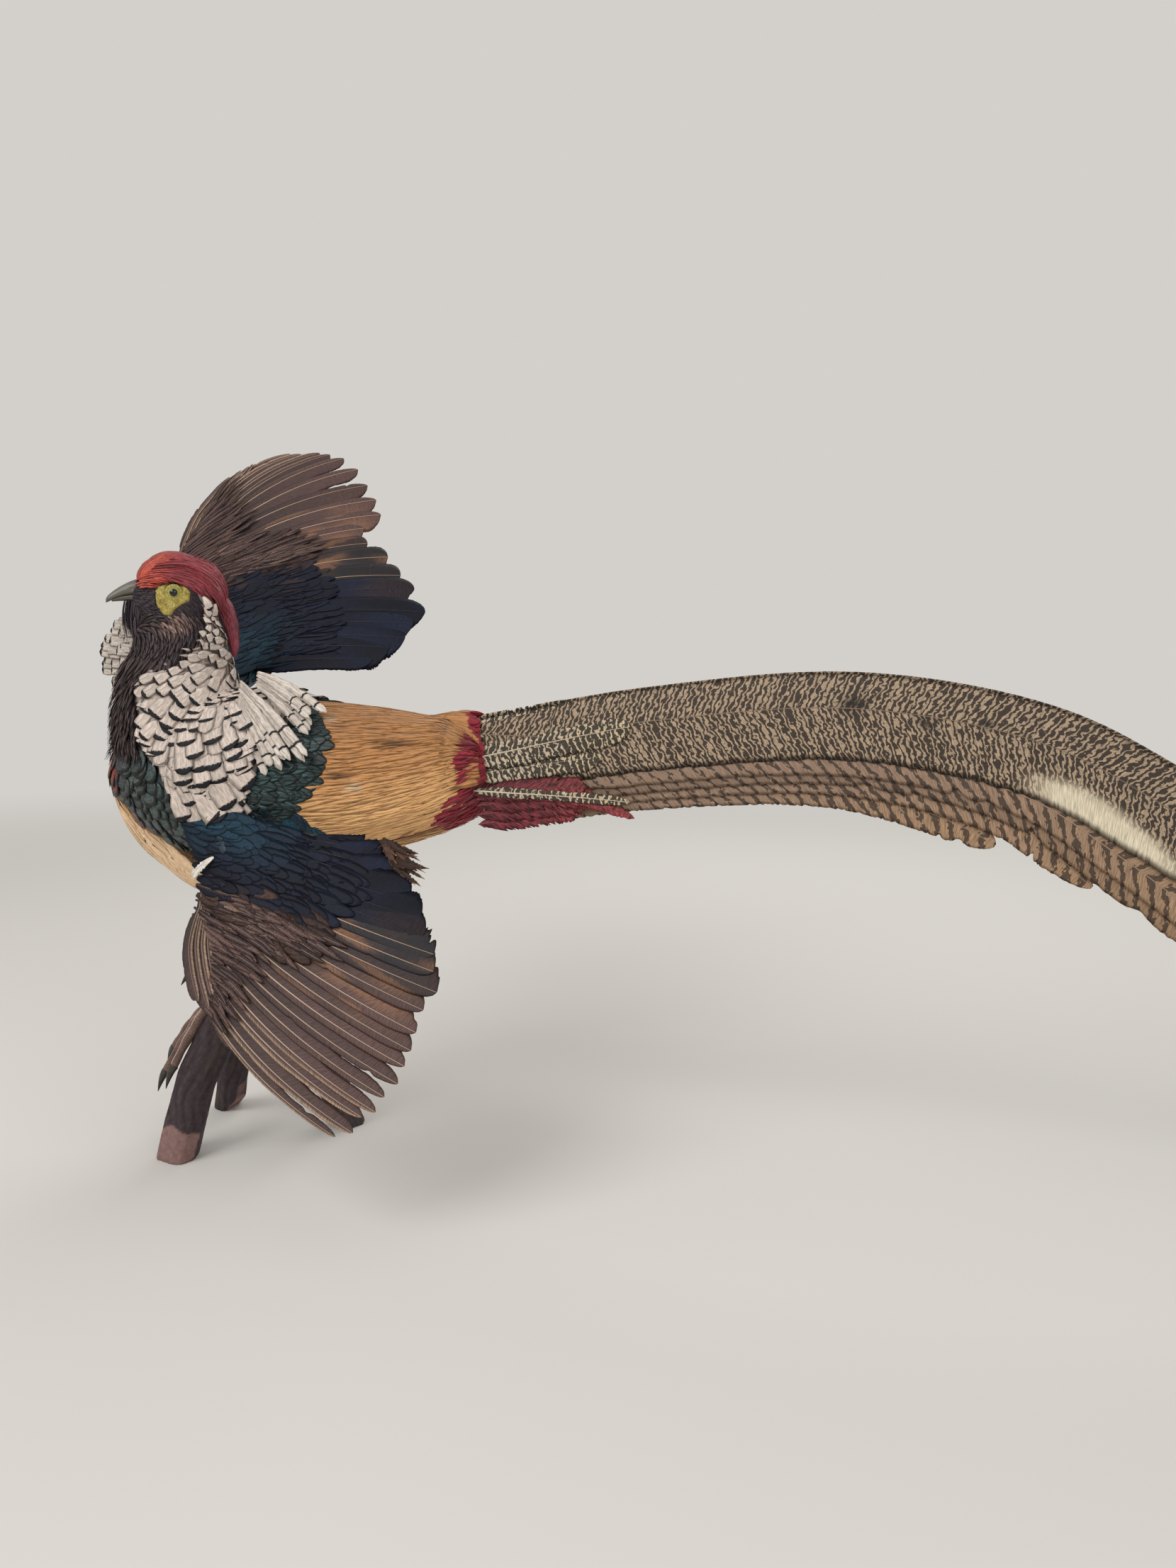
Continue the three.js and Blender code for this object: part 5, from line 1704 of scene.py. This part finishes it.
horn = hornMaterial("BillHorn", "#666159", "#827b70", "#504c46")
paleHorn = hornMaterial("LowerBillHorn", "#5a564c", "#757063", "#4b473f")
upperBill = ringMesh("upper_bill", [loft(upperStations, 34, 28, upperSection)], [horn])
finish(upperBill, "bill", "bill_upper")
lowerBill = ringMesh("lower_bill", [loft(lowerStations, 26, 24, lowerSection)], [paleHorn])
finish(lowerBill, "bill", "bill_lower")


# Eyes: a ball whose colour follows the angle from where it looks, under a clear cornea.
eyeSize = {
    "radius": 5.1, "pupil": 2.35, "iris": 4.3, "lidAcross": 4.25, "lidUp": 3.7, "lidThick": 0.85,
    "bulge": 0.1}


# A taxidermist's glass eye, painted from behind: hard and wet, with one small clear highlight.
def eyeMaterial():
    material, surface, add = newMaterial("GlassEye", {
        "Roughness": 0.1, "Specular IOR Level": 0.5, "Coat Weight": 0.15, "Coat Roughness": 0.03})
    vane = add("UVMap", {"uv_map": "Vane"})
    split = add("SeparateXYZ", {}, {0: vane})
    ray = add("Mapping", {}, {0: vane, 3: (60, 3, 1)})
    fibres = add("TexNoise", onPlane, {"Vector": ray, "Scale": 1.0})
    wobble = add("Math", "MULTIPLY_ADD", {0: fibres, 1: 0.05, 2: -0.025})
    radius = add("Math", "ADD", {0: split.outputs[1], 1: wobble})
    pupil = eyeSize["pupil"] / eyeSize["radius"] / 2
    iris = eyeSize["iris"] / eyeSize["radius"] / 2
    tone = add("ValToRGB", {"stops": {
        pupil - 0.01: "#0c0a08", pupil + 0.02: "#8f8a3e", (pupil + iris) / 2: "#b3ab58",
        iris - 0.03: "#8d8740", iris + 0.02: "#2c2616"}}, {0: radius})
    wire(surface, {"Base Color": tone})
    return material


def eyeBall(name, centre, look, node):
    around, steps = 32, 26
    angle = np.linspace(0.02, 1, steps) * math.pi * 0.96
    turn = turnsOf(around)[:, None]
    right = unit(np.cross(upward, look))
    up = np.cross(look, right)
    bulge = 1 + eyeSize["bulge"] * np.exp(-(angle / 0.5) ** 2)  # the cornea
    circle = right * np.cos(turn) + up * np.sin(turn)
    rings = centre + eyeSize["radius"] * bulge[:, None, None] * (
        look * np.cos(angle)[:, None, None] + np.sin(angle)[:, None, None] * circle)
    fromPupil = np.sin(np.minimum(angle, math.pi / 2)) / 2 + np.maximum(angle - math.pi / 2, 0)
    part = {"rings": rings[None], "Vane": ringMap(around, fromPupil),
            "OFBake": ringMap(around, angle / math.pi)}
    finish(ringMesh(name, [part], [eyeMaterial()]), "eye", node)


# Bare skin drawn into fine folds round the eye, a little moist.
def lidMaterial():
    material, surface, add = newMaterial("WrinkledLid", {"Roughness": 0.55, "Specular IOR Level": 0.4})
    ray = add("Mapping", {}, {0: add("UVMap", {"uv_map": "Vane"}), 3: (46, 5, 1)})
    folds = add("TexNoise", onPlane, {"Vector": ray, "Scale": 1.0, "Detail": 3.0})
    tone = add("ValToRGB", {"stops": {0.3: "#7c6f30", 0.7: "#c4b863"}}, {0: folds})
    bump = add("Bump", {}, {"Strength": 0.7, "Distance": 0.0004, "Height": folds})
    wire(surface, {"Base Color": tone, "Normal": bump})
    return material


lidSkin = lidMaterial()
for side, centre in (("left", eyeLeft), ("right", eyeRight)):
    out = leftward if side == "left" else -leftward
    look = unit(out + turned * 0.08)
    ball = centre - look * 0.5 - upward * 1.9
    eyeBall("eyeball_" + side, ball, look, "eye_" + side)
    # The lids are one soft ring round the opening, thicker above, lying on the ball.
    turn = turnsOf(48)
    forward = unit(turned - look * (turned @ look))
    up = np.cross(forward, look)
    up = up if up[2] > 0 else -up
    lidUp = eyeSize["lidUp"] * np.where(np.sin(turn) > 0, 1, 1.04)
    away = forward * (np.cos(turn) * eyeSize["lidAcross"])[:, None]
    away = away + up * (np.sin(turn) * lidUp)[:, None]
    depth = np.sqrt(np.maximum(eyeSize["radius"] ** 2 - lengthOf(away) ** 2, 4))
    rim = ball + away + look * depth[:, None]
    around = turnsOf(12)
    thick = eyeSize["lidThick"] * (1 + 0.25 * np.clip(np.sin(turn), 0, 1) + 0.1 * np.sin(turn * 17))
    rings = rim[:, None] + thick[:, None, None] * (
        unit(away)[:, None] * (0.5 + 1.25 * np.cos(around))[:, None]
        + look * (0.75 * np.sin(around))[:, None])
    vane = ringMap(12, np.arange(49) / 48)[..., ::-1]
    rings = np.concatenate([rings, rings[:1]])
    lid = {"rings": rings[None], "Vane": vane, "OFBake": 0.02 + 0.96 * vane}
    finish(ringMesh("eyelid_" + side, [lid], [lidSkin]), "face_skin")


# Legs and feet: scaled shanks with a spur, long toes and dark claws.
legs = {
    "left": {"hock": (58, 32, 152), "ball": (18, 18, 102),
             "toes": [(-12, 8, 56), (-1, 2, 62), (-15, 22, 68), (36, 8, 96)]},
    "right": {"hock": (66, 84, 160), "ball": (14, 54, 125.5),
              "toes": [(-21, 59, 118), (-14, 44, 114), (-12, 74, 112), (36, 58, 124)]},
}


def tube(line, radii, around=14, slot=0, scale=None):
    line, radii = np.asarray(line, float), np.asarray(radii, float)
    along = unit(np.gradient(line, axis=0))
    up = unit(np.cross(along, np.cross(upward + 0.01 * backward, along)))
    side = np.cross(along, up)
    turn = turnsOf(around)
    gone = np.concatenate([[0], np.cumsum(lengthOf(np.diff(line, axis=0)))])
    swell = np.ones((len(line), around))
    if scale:  # broad overlapping scales across the front
        front = np.clip(np.sin(turn), 0, 1)
        swell += 0.09 * front * ((gone[:, None] / scale) % 1) ** 2 - 0.02 * front
    rings = line[:, None] + radii[:, None, None] * swell[..., None] * (
        side[:, None] * np.cos(turn)[:, None] + up[:, None] * np.sin(turn)[:, None])
    barb = pair(turn / 2, gone[:, None] / 10)[None]
    return {"rings": rings[None], "Vane": ringMap(around, gone / gone[-1]), "Barb": barb, "slot": slot}


# Dried horny scales, with dark cracks between them and a paler line down the front of the leg
# and along the top of the toes: a painted highlight, where the light from above catches them.
def scaleMaterial():
    material, surface, add = newMaterial("LegScales", {"Roughness": 0.5, "Specular IOR Level": 0.45})
    stretch = add("Mapping", {}, {0: add("UVMap", {"uv_map": "Barb"}), 3: (2.2, 5.5, 1)})
    flat = {"voronoi_dimensions": "2D", "feature": "DISTANCE_TO_EDGE"}
    scales = add("TexVoronoi", flat, {"Vector": stretch, "Scale": 1.0})
    place = add("TexCoord").outputs["Object"]
    blotch = add("TexNoise", {}, {"Vector": place, "Scale": 90.0, "Detail": 4.0})
    tone = add("ValToRGB", {"stops": {0.3: "#543f3b", 0.5: "#785c52", 0.72: "#a58877"}}, {0: blotch})
    split = add("SeparateXYZ", {}, {0: add("UVMap", {"uv_map": "Vane"})})
    # Painted highlight: a pale line along the upper side of each tube.
    top = add("Math", "COMPARE", {0: split, 1: 0.27, 2: 0.09})
    pale = add("Math", "MULTIPLY", {0: top, 1: 0.7})
    tone = add("Mix", inColour, {0: pale, 6: tone, 7: "#cbb09c"})
    crack = add("MapRange", {}, {0: scales, 1: 0.0, 2: 0.12, 3: 0.45, 4: 1.0})
    colour = add("HueSaturation", {}, {"Value": crack, "Color": tone})
    bump = add("Bump", {}, {"Strength": 0.5, "Distance": 0.0005, "Height": crack})
    wire(surface, {"Base Color": colour, "Normal": bump})
    return material


legScales = scaleMaterial()
claw = hornMaterial("ClawHorn", "#2e2a26", "#4a443b", "#1c1917")
for side, leg in legs.items():
    hock, ball = np.array(leg["hock"], float), np.array(leg["ball"], float)
    t = np.linspace(0, 1, 70)
    line = hock + (ball + (0, 0, 2) - hock) * t[:, None]
    radii = np.interp(t, (0, 0.06, 0.5, 0.92, 1), (4.6, 4.5, 3.5, 3.7, 4.3))
    inside = hock + (hock - ball) * 0.12
    line = np.vstack([inside, line])
    radii = np.concatenate([[4.2], radii])
    spurFrom = ball + (hock - ball) * 0.34
    s = np.linspace(0, 1, 12)
    spur = spurFrom + np.outer(s, (9, 0, -6)) + np.outer(s * s, (0, 0, 3))
    shank = [tube(line, radii, 18, scale=4.4), tube(spur, 2.2 * (1 - s) ** 0.7 + 0.25, 10, slot=1)]
    finish(ringMesh("leg_" + side, shank, [legScales, claw]), "leg_scales", "shank_" + side)
    arc = np.linspace(0.1, 3.04, 10)
    parts = [tube(ball + np.outer(np.cos(arc), (0, 0, 4.8)), 5.5 * np.sin(arc), 16)]
    for number, end in enumerate(leg["toes"]):
        end = np.array(end, float)
        run = end - ball
        knuckle = 3 if number < 3 else 2
        t = np.linspace(0, 1, 46)
        pads = 1 + 0.09 * np.cos(t * 2 * math.pi * 3.2)
        rise = knuckle * np.sin(np.clip(t, 0, 1) * math.pi) ** 0.8
        line = ball + np.outer(t, run) + np.outer(rise, upward)
        radii = np.interp(t, (0, 0.35, 0.7, 1), (3.8, 3.2, 2.8, 2.3)) * pads
        parts.append(tube(line, radii, 14, scale=2.6))
        c = np.linspace(0, 1, 16)
        away = unit(run)
        line = end - away * 1.5 + np.outer(c, away * 11) + np.outer(np.sin(c * 1.6), upward * 1.6)
        line = line - np.outer(c ** 2, upward * 7)
        parts.append(tube(line, 2.6 * (1 - c ** 1.8) + 0.25, 12, slot=1))
    finish(ringMesh("toes_" + side, parts, [legScales, claw]), "leg_scales", "foot_" + side)


# The forked branch it stands on, with furrowed bark and two pale sawn faces.
limbs = {
    "front": [(-4, 3, -8, 14), (7, 11, 44, 13.5), (21, 22, 84, 14), (34, 34, 112, 14)],
    "back": [(-27, 96, -8, 11), (-8, 78, 40, 11.5), (14, 56, 84, 12), (34, 34, 112, 14)],
    "hidden": [(78, 94, -8, 11.5), (64, 76, 48, 11.5), (46, 54, 88, 12.5), (34, 34, 112, 14)],
    "stub": [(-24, 60, 104, 8), (6, 50, 110, 10), (34, 34, 106, 12)]}
branch = copyOf(["branch"], "forked_branch")
applyModifier(branch, "REMESH", mode="VOXEL", voxel_size=0.0013)
applyModifier(branch, "SMOOTH", factor=0.5, iterations=4)
places, normals = cornersOf(branch), normalsOf(branch)
limbLines = [curveAt(np.array(stations)[:, :3], np.linspace(0, 1, 40)) for stations in limbs.values()]
lineSpots = np.concatenate(limbLines)
lineRuns = np.concatenate([unit(np.gradient(line, axis=0)) for line in limbLines])
far = np.concatenate([lengthOf(places[k:k + 4000, None] - lineSpots[None]).argmin(1)
                      for k in range(0, len(places), 4000)])
away = places - lineSpots[far]
along = dot(places, lineRuns[far])
acrossLine = unit(np.cross(lineRuns[far], upward + 0.2 * backward))
turn = np.arctan2(dot(away, acrossLine), dot(away, np.cross(lineRuns[far], acrossLine)))
cutTop = 22 + 3 * np.cos(places[:, 0] / 5)
frontCut = (smooth(-normals[:, 1], 0.05, 0.3) * smooth(-places[:, 2], -cutTop, 1 - cutTop)
            * (places[:, 1] < 22) * (places[:, 0] < 34))
backCut = (smooth(normals @ unit(np.array([0.707, 0, -0.707])), 0.9, 0.97)
           * (lengthOf(places - (-20, 93, 8)) < 26))
sawn = np.maximum(frontCut, backCut)
# The furrow pattern moves the surface only a little; in the bark's colour it is painted shade, darker
# in the furrows' hollows.
furrow = (np.abs(np.sin(turn * 5 + 1.3 * np.sin(along / 9) + 0.8 * np.sin(along / 23 + turn * 2)))
          + 0.6 * np.abs(np.sin(turn * 11 + along / 7 + np.sin(along / 4))))
lumps = np.sin(places[:, 0] / 6.1 + 1) * np.sin(places[:, 1] / 5.3) * np.sin(places[:, 2] / 7.7)
rough = (furrow - 1) * 0.07 + 0.7 * lumps
moveCorners(branch, places + normals * (rough * (1 - sawn) * smooth(places[:, 2], 0.5, 6))[:, None])
markCorners(branch, "sawn", sawn)
markCorners(branch, "furrow", furrow / 1.6)
branch.data.shade_smooth()


# Dry bark is matt and deeply furrowed, with a little moss; its colour is darker toward the hollows
# of the furrows, painted shade. The sawn faces are paler and plain.
def barkMaterial():
    material, surface, add = newMaterial("Bark", {"Roughness": 0.85, "Specular IOR Level": 0.25})
    place = add("TexCoord").outputs["Object"]
    grain = add("TexNoise", {}, {"Vector": place, "Scale": 260.0, "Detail": 6.0, "Roughness": 0.65})
    patches = add("TexNoise", {}, {"Vector": place, "Scale": 38.0, "Detail": 3.0})
    furrow = add("Attribute", {"attribute_name": "furrow"}).outputs["Fac"]
    # Painted shade: darker where the furrow pattern is low, in the furrows' hollows.
    tone = add("ValToRGB", {"stops": {0.1: "#382e30", 0.5: "#403538", 0.9: "#493e41"}}, {0: furrow})
    speck = add("MapRange", {}, {0: grain, 1: 0.3, 2: 0.7, 3: 0.7, 4: 1.35})
    bark = add("HueSaturation", {}, {"Value": speck, "Color": tone})
    moss = add("MapRange", {}, {0: patches, 1: 0.6, 2: 0.7, 3: 0.0, 4: 0.45})
    bark = add("Mix", inColour, {0: moss, 6: bark, 7: "#4d4d3a"})
    wood = add("ValToRGB", {"stops": {0.3: "#785b57", 0.7: "#957671"}}, {0: grain})
    sawn = add("Attribute", {"attribute_name": "sawn"}).outputs["Fac"]
    colour = add("Mix", inColour, {0: sawn, 6: bark, 7: wood})
    bump = add("Bump", {}, {"Strength": 0.6, "Distance": 0.0008, "Height": grain})
    wire(surface, {"Base Color": colour, "Normal": bump})
    return material


branch.data.materials.append(barkMaterial())
finish(branch, "bark", "branch")


# The floor, the room's light and the finish.
bpy.ops.mesh.primitive_plane_add(size=60)
floor = bpy.context.object
floor.name = "floor"
# Matt painted board, so that the model's shadow is soft and nothing mirrors in it.
floorMaterial, floorSurface, add = newMaterial("PaintedBoard", {
    "Roughness": 0.9, "Specular IOR Level": 0.1, "Base Color": "#e0ddd8"})
backdrop = "#d3d0cb"
# Far from the object the floor fades into the backdrop, so that no horizon shows.
place = add("TexCoord")
away = add("VectorMath", "LENGTH", {0: place.outputs["Object"]})
fade = add("MapRange", eased, {0: away, 1: 0.9, 2: 2.6})
ray = add("LightPath").outputs["Is Camera Ray"]
seen = add("Math", "MULTIPLY", {0: fade, 1: ray})
glow = add("Emission", {}, {"Color": backdrop, "Strength": 1.0})
blend = add("MixShader", {}, {0: seen, 1: floorSurface, 2: glow})
wire(floorMaterial.node_tree.nodes["Material Output"], {"Surface": blend})
floor.data.materials.append(floorMaterial)

lamps = [  # place, what it looks at, size and strength
    ((-0.5, -1.3, 1.5), (0.15, 0.05, 0.25), 1.1, 17),
    ((1.5, -1.0, 1.0), (0.2, 0.05, 0.2), 1.0, 6),
    ((0.3, 1.4, 1.3), (0.15, 0.05, 0.25), 1.2, 8),
]
for place, target, size, strength in lamps:
    bpy.ops.object.light_add(type="AREA", location=place)
    lamp = bpy.context.object
    lamp.data.size = size
    lamp.data.energy = strength
    lamp.rotation_euler = (Vector(target) - Vector(place)).to_track_quat("-Z", "Y").to_euler()

world = bpy.data.worlds.new("Room")
world.use_nodes = True
add = adder(world)
soft = world.node_tree.nodes["Background"]
wire(soft, {"Color": "#f4f2ee", "Strength": 0.56})
behind = add("Background", {}, {"Color": backdrop, "Strength": 1.0})
ray = add("LightPath").outputs["Is Camera Ray"]
blend = add("MixShader", {}, {0: ray, 1: soft, 2: behind})
wire(world.node_tree.nodes["World Output"], {"Surface": blend})
bpy.context.scene.world = world
bpy.context.scene.view_settings.view_transform = "Standard"
